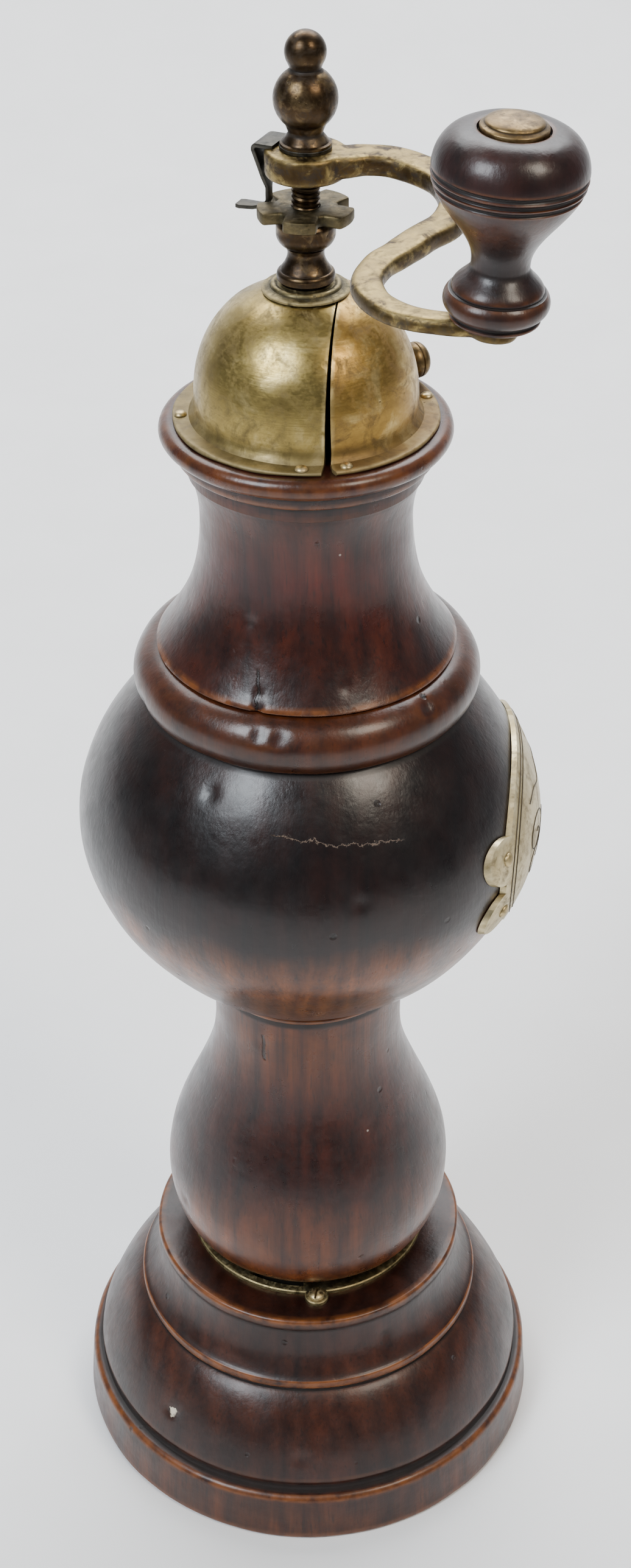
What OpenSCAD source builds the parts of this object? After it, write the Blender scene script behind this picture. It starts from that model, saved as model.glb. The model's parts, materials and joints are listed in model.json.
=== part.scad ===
// Pepper mill: a turned wooden body on a bayonet base, with a sheet brass dome,
// a hand crank on top and a steel burr set in the waist.
// Millimetres, +Z up. The origin is the centre of the base's underside.

/* [Base] */
// Radius of the plinth at the floor
base_r = 58; // [50:1:70]
// Height of the base up to its flat top disc
base_h = 57.2; // [54:0.1:72]
// Height of the plinth's upright band
plinth_h = 14.4; // [10:0.1:18]
// Radius of the step above the rounded shoulder
step_r = 42.9; // [41:0.1:48]
// Radius of the top disc
disc_r = 38.3; // [36:0.1:41]
// Radius of the bowl that catches the ground pepper
bowl_r = 23; // [18:0.5:24]
// Thickness of wood under the bowl
bowl_floor = 8; // [5:0.5:14]

/* [Bayonet] */
// Thickness of the brass locking ring
ring_t = 1.2; // [0.8:0.1:2]
// Width of the locking ring
ring_w = 3.7; // [3:0.1:5]
// Radius of the ears that take the ring's screws
ear_r = 2.9; // [2.6:0.1:3.5]
// Azimuth of the front ear
ear_turn = -86; // [-110:1:-60]
// Angle that a locking notch spans
notch_span = 28; // [20:1:36]
// Twist between locked and free
twist_deg = 30; // [20:1:40]

/* [Bulb] */
// Radius of the bulb's foot
foot_r = 25; // [24:0.5:28]
// Height of the straight foot
foot_h = 2.8; // [2.6:0.1:5]
// Greatest radius of the bulb
bulb_r = 34.6; // [30:0.1:42]
// Height of the bulb's lower, round part
bulb_low_h = 18.8; // [14:0.1:24]
// Height of the bulb's upper, tapering part
bulb_up_h = 49; // [38:0.5:60]
// Radius of the waist
waist_r = 22; // [21:0.1:26]
// Height of the plain waist below its beads
waist_h = 11.5; // [8:0.1:15]
// Radius of one waist bead
waist_bead_r = 0.9; // [0.6:0.1:1.4]
// Radius of the chute that ground pepper falls down
chute_r = 14.6; // [12:0.1:16]

/* [Belly] */
// Greatest radius of the belly
belly_r = 51.1; // [46:0.1:62]
// Height of the belly below its greatest radius
belly_low_h = 42.4; // [36:0.1:52]
// Height of the belly above its greatest radius
belly_up_h = 33; // [28:0.1:40]
// Radius of the belly where it leaves the waist
belly_foot_r = 24; // [23.5:0.1:27]
// Thickness of the hopper's wall
belly_wall = 9; // [6:0.5:11]
// Radius of the roll that crowns the belly
roll_r = 6.8; // [6:0.1:8]
// Distance of the roll's centre from the axis
roll_at = 30.5; // [29:0.1:34]

/* [Neck] */
// Radius of the neck's skirt
skirt_r = 32.1; // [30:0.1:35]
// Least radius of the neck
neck_r = 22.1; // [21:0.1:25]
// Height of the neck's concave sweep
neck_h = 30.6; // [24:0.1:38]
// Height of the flare above the sweep
flare_h = 10; // [7:0.1:13]
// Greatest radius of the collar bead
collar_r = 29.8; // [28.5:0.1:33]
// Radius of the throat that peppercorns drop through
throat_r = 14; // [10:0.1:15]
// Radius of the glued tenons
tenon_r = 19; // [18:0.1:20]
// Length of the glued tenons
tenon_h = 8; // [6:0.5:10]

/* [Dome] */
// Radius of the dome
dome_r = 22.6; // [21:0.1:25]
// Height of the dome above its foot
dome_h = 24.4; // [22:0.1:30]
// Thickness of the sheet brass
sheet_t = 0.9; // [0.6:0.1:1.2]
// Radius of the dome's flange
flange_r = 27; // [26.5:0.1:28]
// Distance of the seam from the axis
seam_at = 6.63; // [5.5:0.01:8]
// Turn of the seam about the axis
seam_turn = -8; // [-15:1:0]
// First azimuth of the loading opening
door_from = 24; // [15:1:40]
// Angle that the loading opening spans
door_span = 100; // [80:1:120]
// Travel of the loading door
door_travel = 70; // [40:1:75]

/* [Name plate] */
// Half of the plate's length, without its lobes
plate_half_w = 30; // [24:0.5:34]
// Half of the plate's height
plate_half_h = 21.5; // [16:0.5:24]
// Radius of a corner lobe
lobe_r = 5.5; // [4.5:0.1:6.5]
// Thickness of the plate
plate_t = 1.1; // [0.8:0.1:1.5]

/* [Burrs] */
// Outer radius of the fixed burr
burr_r = 14.5; // [12.5:0.1:15]
// Height of the burrs' grinding cone
burr_cone_h = 7; // [5:0.5:9]
// Gap between the burrs
burr_gap = 0.7; // [0.5:0.1:1]
// Number of grooves in each burr
groove_count = 12; // [8:1:18]

/* [Spindle and nut] */
// Radius of the spindle
spindle_r = 2.8; // [2.4:0.1:3.2]
// Height of the bushing above the dome
bushing_h = 12.6; // [10:0.1:15]
// Radius of the star nut's lobes
nut_r = 9.4; // [8.5:0.1:10.5]
// Thickness of the star nut
nut_t = 2.4; // [2:0.1:3.5]
// Width of one lobe
nut_lobe_w = 6.4; // [5.6:0.1:6.6]
// Bare thread between the nut and the crank
thread_h = 6; // [4:0.1:8]

/* [Crank] */
// Distance from the spindle to the handle
crank_reach = 76.3; // [64:0.1:92]
// Azimuth of the handle
crank_turn = -65.8; // [-180:0.1:180]
// Thickness of the bar at the hub
bar_t_hub = 4.4; // [3.6:0.1:5]
// Thickness of the bar at the handle
bar_t_end = 2.8; // [2.4:0.1:4]
// Width of the bar at the hub
bar_w_hub = 8; // [7:0.1:10]
// Width of the bar at the handle
bar_w_end = 4.8; // [4:0.1:7]
// Radius of the crank's hub
hub_r = 7.9; // [7:0.1:9]
// Radius of the boss under the handle
boss_r = 4.2; // [3.6:0.1:6]
// Lean of the handle
handle_lean = 3.7; // [0:0.1:8]
// Azimuth that the handle leans towards
handle_lean_turn = -40; // [-180:1:180]

/* [Handle] */
// Greatest radius of the wooden knob
knob_r = 12.7; // [11:0.1:15]
// Height of the wooden knob
knob_h = 32.5; // [28:0.1:36]
// Radius of the knob's base bead
knob_foot_r = 8.9; // [8:0.1:10]
// Radius of the knob's neck
knob_neck_r = 4.9; // [4.2:0.1:6]
// Radius of the brass cap
cap_r = 5.6; // [5:0.1:6.4]
// Radius of the pin that the knob turns on
pin_r = 2; // [1.6:0.1:2.4]

/* [Hidden] */
$fn = 96;

// Clearances: turning fit, fit of fixed pieces, space between bodies, sliding sheet
run_gap = 0.05;
seat_gap = 0.1;
body_gap = 0.2;
door_gap = 0.35;
// More than any radius, for cutting tools
far = 100;

// Base
plinth_round = 1.8;
quirk_r = base_r - 3.8;
shoulder_z = plinth_h + 3;
step_z = shoulder_z + 20.4;
step_top_z = step_z + 3.2;
disc_z = base_h - 1.9;
disc_round = 0.9;
bowl_round = 12;
// Bayonet: lugs on the foot ring turn in a well under the locking ring
lug_t = 2;
lug_reach = 2.1;
ring_in = foot_r + 0.6;
ring_out = ring_in + ring_w;
lug_r = foot_r + lug_reach;
well_r = lug_r + 0.3;
well_z = base_h - lug_t - 0.6;
lug_z = well_z + seat_gap;
notch_turn = ear_turn - 20.5;
ear_at = ring_out + 0.9;
bayonet_count = 3;
screw_head_r = 2.1;
screw_r = 0.9;
foot_ring_in = chute_r + 0.4;
// Bulb
foot_z = base_h + body_gap;
bulb_z = foot_z + foot_h;
bulb_mid_z = bulb_z + bulb_low_h;
waist_z = bulb_mid_z + bulb_up_h;
waist_top_z = waist_z + waist_h;
// Belly
belly_z = waist_top_z + 4 * waist_bead_r;
belly_mid_z = belly_z + belly_low_h;
roll_z = belly_mid_z + belly_up_h + 4.8;
roll_top_z = roll_z + roll_r + 0.1;
tenon_top_z = belly_z + tenon_h;
socket_r = tenon_r + seat_gap;
// Neck
neck_z = roll_top_z;
skirt_edge = 0.7;
sweep_z = neck_z + neck_h;
fillet_z = sweep_z + flare_h;
collar_fillet_r = neck_r + 2.3;
collar_step_r = collar_fillet_r + 2.3;
collar_bead_r = 2.2;
collar_z = fillet_z + 9.3;
neck_top_z = collar_z + collar_bead_r;
// Dome
dome_power = 2.3;
dome_z = neck_top_z + 3.5;
dome_top_z = dome_z + dome_h;
shank_r = 5;
opening_z = dome_z + 0.2;
opening_top_z = dome_z + 0.74 * dome_h;
door_lap = 6;
door_t = 0.7;
door_knob_turn = door_from + 7;
door_knob_z = dome_z + 1.9;
door_stem_r = 1.2;
door_knob_r = 3.75;
seam_gap_top = 0.15;
seam_gap_foot = 1.6;
pin_head_r = 1.3;
dome_pin_r = (dome_r + 1 + flange_r) / 2;
dome_pin_turns = [-92, -72, 15, 62, 104, 140, 184];
// Bushing
washer_r = 8.7;
washer_t = 0.8;
washer_drop = 0.75;
washer_z = dome_top_z - 0.05;
bushing_z = washer_z + washer_t;
bushing_top_z = bushing_z + bushing_h;
bushing_nut_h = 3;
bushing_nut_z = dome_top_z - 7.2;
// Star nut, crank and catch
nut_z = bushing_top_z + 2 * body_gap;
nut_top_z = nut_z + nut_t;
nut_turn = -98;
nut_lobes = 5;
hub_z = nut_top_z + thread_h;
hub_h = 5.2;
hub_top_z = hub_z + hub_h;
bar_low_z = hub_top_z - bar_t_hub;
catch_t = 0.8;
catch_turn = nut_turn + 254;
catch_hinge = 5.2;
catch_bend = 10;
catch_leg = 8.1;
catch_tab = 14.6;
catch_w = 7.4;
catch_foot_w = 1.8;
finial_z = hub_top_z + catch_t;
finial_foot_r = 4.9;
thread_r = spindle_r - 0.6;
// Burrs
burr_z = tenon_top_z - burr_cone_h - 15;
burr_mouth_r = burr_r - 1.9;
burr_wide_r = burr_r - 2;
burr_slim_r = burr_wide_r - 1.5;
burr_flange_r = tenon_r - 1.5;
burr_flange_t = 2;
bridge_z = tenon_top_z + burr_flange_t;
bridge_t = 3;
burr_screw_at = (burr_r + burr_flange_r) / 2;
inner_burr_top_r = 4.6;
spindle_z = burr_z - 8.6;
// Handle
boss_h = 3.1;
boss_top_z = bar_low_z + 1.4;
knob_z = seat_gap;
knob_step_z = knob_z + 0.7;
knob_bead_z = knob_step_z + 2.6;
knob_lip_z = knob_bead_z + 1.9;
knob_lip_r = 7.9;
knob_neck_z = knob_lip_z + 4.3;
knob_wide_z = knob_z + 0.785 * knob_h;
knob_top_r = cap_r + 0.7;
knob_grooves = [-2.4, -1.2, 0.05];
knob_groove = 0.5;
recess_h = 1.2;
// The S of the crank as shares of its reach: along the line from hub to handle,
// and to the left of it
crank_bends = [[0, 0], [0.05, 0.06], [0.06, 0.13], [0.09, 0.19], [0.155, 0.232], [0.26, 0.255],
    [0.375, 0.228], [0.48, 0.148], [0.54, 0.045], [0.59, -0.035], [0.635, -0.107],
    [0.705, -0.165], [0.8, -0.183], [0.88, -0.155], [0.945, -0.087], [1, 0]];

wood_dark = [0.16, 0.08, 0.05];
wood_warm = [0.32, 0.16, 0.07];
brass_old = [0.62, 0.52, 0.28];
brass_pale = [0.72, 0.63, 0.42];
bronze_dark = [0.28, 0.21, 0.13];
steel_dark = [0.16, 0.15, 0.15];
iron_grey = [0.35, 0.35, 0.36];

// Outline helpers: lists of [radius, height] points, from the bottom up

// Arc about a centre, from angle a0 to a1
function arc(c, r, a0, a1, n = 8) =
    [for (i = [0:n]) let (a = a0 + (a1 - a0) * i / n) c + r * [cos(a), sin(a)]];
// S-shaped or round taper from a wide place up to a slim one
function taper(r0, z0, r1, z1, power, n = 14) =
    [for (i = [0:n]) let (u = i / n)
        [r1 + (r0 - r1) * pow(cos(90 * u), power), z0 + (z1 - z0) * u]];
// Round swell from a slim place up to a wide one
function swell(r0, z0, r1, z1, power, n = 14) =
    [for (i = [0:n]) let (u = i / n)
        [r0 + (r1 - r0) * pow(sin(90 * u), power), z0 + (z1 - z0) * u]];
// Convex quarter that starts upright
function bulge(r0, z0, r1, z1, power, n = 12) =
    [for (i = [0:n]) let (u = sin(90 * i / n))
        [r1 + (r0 - r1) * pow(1 - pow(u, power), 1 / power), z0 + (z1 - z0) * u]];
// Convex quarter that ends upright
function rise(r0, z0, r1, z1, power, n = 14) =
    [for (i = [0:n]) let (u = cos(90 * i / n))
        [r0 + (r1 - r0) * pow(1 - pow(u, power), 1 / power), z1 - (z1 - z0) * u]];
// Concave sweep that ends upright
function cove(r0, z0, r1, z1, power, n = 12) =
    [for (i = [0:n]) let (u = i / n)
        [r1 + (r0 - r1) * pow(1 - u, power), z0 + (z1 - z0) * u]];
// Concave sweep that starts upright
function flare(r0, z0, r1, z1, power, n = 8) =
    [for (i = [0:n]) let (u = i / n)
        [r0 + (r1 - r0) * pow(u, power), z0 + (z1 - z0) * u]];
// The same points in the other order
function back(points) = [for (i = [len(points) - 1:-1:0]) points[i]];
// Points moved outwards by d
function outward(points, d) = [for (p = points) [p[0] + d, p[1]]];
// Superellipse quarter of the dome, up to the radius r_end
function dome_curve(a, b, r_end, n = 16) =
    let (last = acos(pow(r_end / a, dome_power / 2)))
    [for (i = [0:n]) let (t = last * i / n)
        [a * pow(cos(t), 2 / dome_power), dome_z + b * pow(sin(t), 2 / dome_power)]];
// Smooth curve through points
function blend(a, b, c, d, t) = 0.5 * ((2 * b) + (c - a) * t
    + (2 * a - 5 * b + 4 * c - d) * t * t + (3 * b - a - 3 * c + d) * t * t * t);
function smooth(p, n = 4) = concat(
    [for (i = [0:len(p) - 2]) for (k = [0:n - 1])
        blend(p[max(i - 1, 0)], p[i], p[i + 1], p[min(i + 2, len(p) - 1)], k / n)],
    [p[len(p) - 1]]);

module turned(points) {
    rotate_extrude() polygon(points);
}

// Wedge of azimuth between two heights
module sector(from, span, z0, z1) {
    steps = ceil(span / 10);
    rim = [for (i = [0:steps]) let (a = from + span * i / steps) far * [cos(a), sin(a)]];
    translate([0, 0, z0]) linear_extrude(z1 - z0) polygon(concat([[0, 0]], rim));
}

// Copies of the children at azimuths, at a distance from the axis
module around(turns, distance, z) {
    for (turn = turns) rotate([0, 0, turn]) translate([distance, 0, z]) children();
}

// Round-head slotted screw, head on z = 0, pointing down
module slotted_screw(head_r, head_h, shank_r, length) {
    slot_w = head_r * 0.28;
    difference() {
        turned(concat([[0, -length], [shank_r, -length + shank_r], [shank_r, 0]],
            bulge(head_r, 0, 0, head_h, 2, 8)));
        translate([-head_r, -slot_w / 2, head_h * 0.5]) cube([2 * head_r, slot_w, head_h]);
    }
}

// Domed pin, head on z = 0, pointing down
module domed_pin(head_r, head_h, shank_r, length) {
    turned(concat([[0, -length], [shank_r, -length], [shank_r, 0]],
        bulge(head_r, 0, 0, head_h, 2, 6)));
}

// ---- base ----

bayonet_turns = [for (i = [0:bayonet_count - 1]) ear_turn + 360 / bayonet_count * i];
notch_turns = [for (i = [0:bayonet_count - 1]) notch_turn + 360 / bayonet_count * i];

module base_bowl() {
    screw_len = 8;
    outline = concat(
        [[0, 0], [base_r - 1, 0], [base_r, 1]],
        arc([base_r - 0.9 - plinth_round, plinth_h - plinth_round], plinth_round, 0, 90),
        [[quirk_r, plinth_h + 0.4], [quirk_r, shoulder_z - 0.8]],
        bulge(quirk_r + 0.3, shoulder_z, step_r - 0.6, step_z - 0.3, 1.2),
        [[step_r - 0.9, step_z + 0.3], [step_r, step_z + 0.5], [step_r, step_top_z]],
        cove(step_r - 0.8, step_top_z + 0.2, disc_r - 0.6, disc_z - 1.8, 2.4),
        [[disc_r, disc_z - 0.4]],
        arc([disc_r - disc_round, base_h - disc_round], disc_round, 0, 90, 5),
        [[well_r, base_h], [well_r, well_z], [bowl_r, well_z]],
        arc([bowl_r - bowl_round, bowl_floor + bowl_round], bowl_round, 0, -90),
        [[0, bowl_floor]]);
    color(wood_warm) difference() {
        turned(outline);
        around(bayonet_turns, ear_at, base_h - screw_len) cylinder(r = screw_r, h = screw_len + 1);
    }
}

module bayonet_ring() {
    color(brass_old) translate([0, 0, base_h]) difference() {
        union() {
            cylinder(r = ring_out, h = ring_t);
            around(bayonet_turns, ear_at, 0) cylinder(r = ear_r, h = ring_t);
        }
        translate([0, 0, -1]) cylinder(r = ring_in, h = ring_t + 2);
        for (turn = notch_turns) intersection() {
            sector(turn - notch_span / 2, notch_span, -1, ring_t + 1);
            cylinder(r = well_r, h = 3 * ring_t, center = true);
        }
        around(bayonet_turns, ear_at, -1) cylinder(r = screw_r, h = ring_t + 2);
    }
}

module ring_screws() {
    color(brass_pale) around(bayonet_turns, ear_at, base_h + ring_t)
        slotted_screw(screw_head_r, 1.1, screw_r, ring_t + 7);
}

// ---- mill body ----

foot_screw_at = (foot_ring_in + foot_r - 0.6) / 2;
foot_screw_len = 9;

module bulb_pedestal() {
    outline = concat(
        [[foot_r - 0.6, foot_z], [foot_r, foot_z + 0.6]],
        rise(foot_r, bulb_z, bulb_r, bulb_mid_z, 2.1),
        taper(bulb_r, bulb_mid_z, waist_r, waist_z, 2.3, 20),
        [[waist_r + 0.3, waist_top_z]],
        arc([waist_r + 0.3, waist_top_z + waist_bead_r], waist_bead_r, -80, 80, 6),
        arc([waist_r + 0.3, waist_top_z + 3 * waist_bead_r], waist_bead_r, -80, 80, 6),
        [[waist_r, belly_z], [tenon_r, belly_z], [tenon_r, tenon_top_z],
            [chute_r, tenon_top_z], [chute_r, foot_z]]);
    color(wood_warm) difference() {
        turned(outline);
        around(notch_turns, foot_screw_at, foot_z - 1) cylinder(r = screw_r, h = foot_screw_len);
        around([0, 180], burr_screw_at, tenon_top_z - 7) cylinder(r = screw_r, h = 8);
    }
}

module foot_ring() {
    ring_r = foot_r - 0.6;
    color(brass_old) difference() {
        union() {
            translate([0, 0, lug_z]) cylinder(r = ring_r, h = foot_z - lug_z);
            for (turn = notch_turns) intersection() {
                sector(turn + twist_deg - notch_span / 2 + 2, notch_span - 4, lug_z, lug_z + lug_t);
                translate([0, 0, lug_z]) cylinder(r = lug_r, h = lug_t);
            }
        }
        translate([0, 0, lug_z - 1]) cylinder(r = foot_ring_in, h = 6);
        around(notch_turns, foot_screw_at, lug_z - 1) cylinder(r = screw_r, h = 6);
    }
}

module foot_screws() {
    color(steel_dark) around(notch_turns, foot_screw_at, lug_z)
        rotate([180, 0, 0]) slotted_screw(screw_head_r, 1, screw_r, foot_screw_len);
}

belly_outer = concat(
    swell(belly_foot_r, belly_z, belly_r, belly_mid_z, 0.8, 22),
    taper(belly_r, belly_mid_z, roll_at + 4, roll_z - 4.8, 0.85, 18));

module belly_hopper() {
    inner_low_z = tenon_top_z + burr_flange_t + bridge_t + 2;
    neck_socket_z = roll_top_z - tenon_h - seat_gap;
    inner = concat(
        [[socket_r, belly_z], [socket_r, inner_low_z]],
        swell(socket_r, inner_low_z, belly_r - belly_wall, belly_mid_z, 0.9, 12),
        taper(belly_r - belly_wall, belly_mid_z, throat_r + 1, neck_socket_z - 3, 0.9, 12),
        [[throat_r + 1, neck_socket_z], [socket_r, neck_socket_z], [socket_r, roll_top_z]]);
    outline = concat(belly_outer,
        arc([roll_at, roll_z], roll_r, -42, 84, 14),
        [[roll_at - 1, roll_top_z]],
        back(inner));
    color(wood_dark) difference() {
        turned(outline);
        plate_pin_holes();
    }
}

module neck_collar() {
    funnel_r = dome_r - 3.4;
    color(wood_dark) turned(concat(
        [[throat_r, neck_z - tenon_h], [tenon_r, neck_z - tenon_h], [tenon_r, neck_z],
            [skirt_r - 0.4, neck_z], [skirt_r, neck_z + 0.4]],
        cove(skirt_r, neck_z + skirt_edge, neck_r, sweep_z, 2.4, 18),
        flare(neck_r, sweep_z, collar_fillet_r - 0.5, fillet_z, 2, 6),
        [[collar_fillet_r, fillet_z + 0.2], [collar_fillet_r, fillet_z + 3.8],
            [collar_step_r, fillet_z + 4.1], [collar_step_r, fillet_z + 7]],
        arc([collar_r - collar_bead_r, collar_z], collar_bead_r, -80, 90, 10),
        [[funnel_r, neck_top_z], [throat_r, fillet_z - 4]]));
}

// ---- burrs ----

module burr_grooves(count, radius, z, height, depth, slant) {
    for (i = [0:count - 1]) rotate([0, 0, 360 / count * i])
        translate([radius, 0, z]) rotate([slant, 0, 0]) rotate([0, 0, 45])
            cube([depth, depth, height], center = true);
}

module outer_burr() {
    color(iron_grey) difference() {
        turned([[burr_wide_r, burr_z], [burr_r, burr_z], [burr_r, tenon_top_z],
            [burr_flange_r, tenon_top_z], [burr_flange_r, bridge_z], [burr_mouth_r, bridge_z],
            [burr_mouth_r, burr_z + burr_cone_h + 5], [burr_slim_r, burr_z + burr_cone_h]]);
        burr_grooves(groove_count, burr_slim_r + 0.2, burr_z + burr_cone_h, 12, 1, 20);
        around([0, 180], burr_screw_at, tenon_top_z - 1) cylinder(r = screw_r, h = 4);
    }
}

module inner_burr() {
    shift = burr_gap;
    color(iron_grey) difference() {
        turned([[spindle_r, burr_z - 1.5], [burr_wide_r - shift, burr_z - 1.5],
            [burr_wide_r - shift, burr_z], [burr_slim_r - shift, burr_z + burr_cone_h],
            [inner_burr_top_r, burr_z + burr_cone_h + 13], [spindle_r, burr_z + burr_cone_h + 13]]);
        burr_grooves(groove_count, burr_slim_r - 0.6, burr_z + burr_cone_h, 16, 1.2, -20);
    }
}

module burr_bridge() {
    arm_w = 5;
    color(steel_dark) difference() {
        union() {
            translate([0, 0, bridge_z]) cylinder(r = 6, h = bridge_t + 1.5);
            intersection() {
                translate([-far, -arm_w / 2, bridge_z]) cube([2 * far, arm_w, bridge_t]);
                cylinder(r = burr_flange_r, h = 2 * far * 2);
            }
        }
        translate([0, 0, bridge_z - 1]) cylinder(r = spindle_r + run_gap, h = 10);
        around([0, 180], burr_screw_at, bridge_z - 1) cylinder(r = screw_r, h = 6);
    }
}

module burr_screws() {
    color(brass_pale) around([0, 180], burr_screw_at, bridge_z + bridge_t)
        slotted_screw(1.6, 1, screw_r, bridge_t + burr_flange_t + 6);
}

// ---- name plate ----

plate_z = belly_mid_z - 1;
plate_pin_r = 0.8;
plate_pin_len = 4;
lobe_y = plate_half_w - 1.5;
lobe_z = lobe_r + 1;

module name_plate() {
    oval = [for (i = [0:59]) [plate_half_w * cos(6 * i), plate_half_h * sin(6 * i)]];
    color(brass_pale) difference() {
        intersection() {
            turned(concat(outward(belly_outer, seat_gap), back(outward(belly_outer, seat_gap + plate_t))));
            translate([0, 0, plate_z]) rotate([90, 0, 90]) linear_extrude(far) union() {
                polygon(oval);
                for (side = [-1, 1], level = [-1, 1])
                    translate([side * lobe_y, level * lobe_z]) circle(lobe_r);
            }
        }
        plate_pin_holes();
    }
}

// Radius of the belly at a height, read from its outline, and its slope there
function belly_radius_at(z) = lookup(z, [for (p = belly_outer) [p[1], p[0]]]);
function belly_slope_at(z) = atan(belly_radius_at(z + 0.5) - belly_radius_at(z - 0.5));

// The four corner pins stand square on the plate, z = 0 at its outer face
module pin_places() {
    turn = asin(lobe_y / belly_r);
    for (side = [-1, 1], level = [-1, 1]) let (z = plate_z + level * (lobe_z + 0.5))
        rotate([0, 0, side * turn]) translate([belly_radius_at(z) + seat_gap + plate_t, 0, z])
            rotate([0, 90 + belly_slope_at(z), 0]) children();
}

module plate_pin_holes() {
    pin_places() translate([0, 0, -plate_pin_len]) cylinder(r = plate_pin_r, h = 2 * plate_pin_len);
}

module plate_pins() {
    color(brass_old) pin_places() domed_pin(pin_head_r + 0.3, 0.8, plate_pin_r, plate_pin_len);
}

// ---- dome ----

module dome_sheet() {
    turned(concat(
        [[dome_r - sheet_t - 0.6, neck_top_z], [flange_r, neck_top_z], [flange_r, neck_top_z + sheet_t]],
        cove(dome_r + 1, neck_top_z + sheet_t, dome_r, dome_z, 2.2, 5),
        dome_curve(dome_r, dome_h, shank_r),
        back(dome_curve(dome_r - sheet_t, dome_h - sheet_t, shank_r))));
}

// Space right of the seam, moved right by a gap at its top and at its foot
module seam_side(gap_top, gap_foot) {
    top = dome_top_z + 5;
    foot = neck_top_z - 5;
    rotate([0, 0, seam_turn]) rotate([90, 0, 0]) linear_extrude(2 * far, center = true)
        polygon([[seam_at + gap_foot, foot], [far, foot], [far, top], [seam_at + gap_top, top]]);
}

module door_opening() {
    sector(door_from, door_span, opening_z, opening_top_z);
}

module dome_pin_holes() {
    around(dome_pin_turns, dome_pin_r, neck_top_z - 1) cylinder(r = 0.7, h = 4, $fn = 24);
}

module dome_shell_left() {
    color(brass_old) difference() {
        dome_sheet();
        seam_side(0, 0);
        door_opening();
        dome_pin_holes();
    }
}

module dome_shell_right() {
    corner_r = 3;
    reach = sqrt(pow(flange_r, 2) - pow(seam_at + seam_gap_foot, 2));
    color(brass_old) difference() {
        intersection() {
            dome_sheet();
            seam_side(seam_gap_top, seam_gap_foot);
        }
        door_opening();
        dome_pin_holes();
        // The flange's front corner is filed round
        rotate([0, 0, seam_turn]) translate([seam_at + seam_gap_foot, -reach - 1, neck_top_z - 1])
            difference() {
                translate([-2, -2, 0]) cube([corner_r + 2, corner_r + 2, sheet_t + 1.5]);
                translate([corner_r, corner_r, -1]) cylinder(r = corner_r, h = 5);
            }
    }
}

module dome_pins() {
    color(brass_pale) around(dome_pin_turns, dome_pin_r, neck_top_z + sheet_t)
        domed_pin(pin_head_r, 0.8, 0.7, sheet_t);
}

module boss_washer() {
    color(steel_dark) turned([[shank_r, washer_z], [washer_r, washer_z - washer_drop],
        [washer_r, washer_z - washer_drop + washer_t], [6.9, bushing_z - 0.3], [6.5, bushing_z],
        [shank_r, bushing_z]]);
}

module spindle_bushing() {
    bead_z = bushing_z + 0.5;
    slim_z = bushing_z + 5.9;
    cup_z = bushing_z + 7.4;
    slim = spindle_r + 0.8;
    wide = slim + 2.1;
    bore = spindle_r + run_gap;
    color(bronze_dark) turned(concat(
        [[bore, bushing_nut_z - 0.6], [shank_r, bushing_nut_z - 0.6], [shank_r, bead_z],
            [wide - 0.2, bead_z], [wide, bead_z + 0.3], [wide, bead_z + 1.3], [wide - 0.2, bead_z + 2]],
        cove(slim + 1.2, bead_z + 2.4, slim, slim_z, 1.8, 8),
        flare(slim, slim_z + 0.2, slim + 0.3, cup_z, 2, 3),
        rise(slim + 0.5, cup_z + 0.1, wide + 0.1, cup_z + 2.6, 2, 8),
        [[wide + 0.1, bushing_top_z - 0.6], [wide - 0.4, bushing_top_z], [bore, bushing_top_z]]));
}

module bushing_nut() {
    color(bronze_dark) translate([0, 0, bushing_nut_z]) difference() {
        cylinder(r = 8.2, h = bushing_nut_h, $fn = 6);
        translate([0, 0, -1]) cylinder(r = shank_r, h = bushing_nut_h + 2);
    }
}

// ---- loading door ----

door_r = dome_r - sheet_t - door_gap;
door_h = dome_h - sheet_t - door_gap;

module door_panel() {
    hole = shank_r + run_gap;
    pivot_r = washer_r;
    color(brass_old) difference() {
        intersection() {
            turned(concat(
                [[door_r, neck_top_z + 2.4]], dome_curve(door_r, door_h, hole),
                back(dome_curve(door_r - door_t, door_h - door_t, hole)),
                [[door_r - door_t, neck_top_z + 2.4]]));
            union() {
                sector(door_from - door_lap, door_span + 2 * door_lap, neck_top_z, dome_top_z);
                translate([0, 0, neck_top_z]) cylinder(r = pivot_r, h = dome_h + 10);
            }
        }
        rotate([0, 0, door_knob_turn]) translate([0, 0, door_knob_z]) rotate([0, 90, 0])
            cylinder(r = door_stem_r, h = far);
    }
}

module door_knob() {
    near = dome_r + 1.1;
    rim = near + 2.1;
    tip = near + 5.3;
    color(brass_pale) rotate([0, 0, door_knob_turn]) translate([0, 0, door_knob_z]) rotate([0, 90, 0])
        turned(concat([[0, door_r - 1.6], [door_stem_r, door_r - 1.6], [door_stem_r, near],
            [door_stem_r + 1, near]],
            rise(door_stem_r + 1.2, near + 0.1, door_knob_r, rim, 2, 5),
            bulge(door_knob_r, rim + 0.9, 0, tip, 2, 8)));
}

// ---- star nut ----

module star_nut() {
    core_r = 6.2;
    color(bronze_dark) difference() {
        translate([0, 0, nut_z]) linear_extrude(nut_t) intersection() {
            circle(nut_r);
            union() {
                circle(core_r);
                for (i = [0:nut_lobes - 1]) rotate(nut_turn + 360 / nut_lobes * i)
                    translate([0, -nut_lobe_w / 2]) square([nut_r, nut_lobe_w]);
            }
        }
        translate([0, 0, nut_z - 1]) cylinder(r = spindle_r + run_gap, h = nut_t + 4);
    }
}

// ---- drive ----

module spindle() {
    color(iron_grey) turned([[0, spindle_z], [spindle_r - 0.5, spindle_z], [spindle_r, spindle_z + 0.5],
        [spindle_r, hub_top_z], [thread_r, hub_top_z], [thread_r, finial_z + 8], [0, finial_z + 8]]);
}

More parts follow.
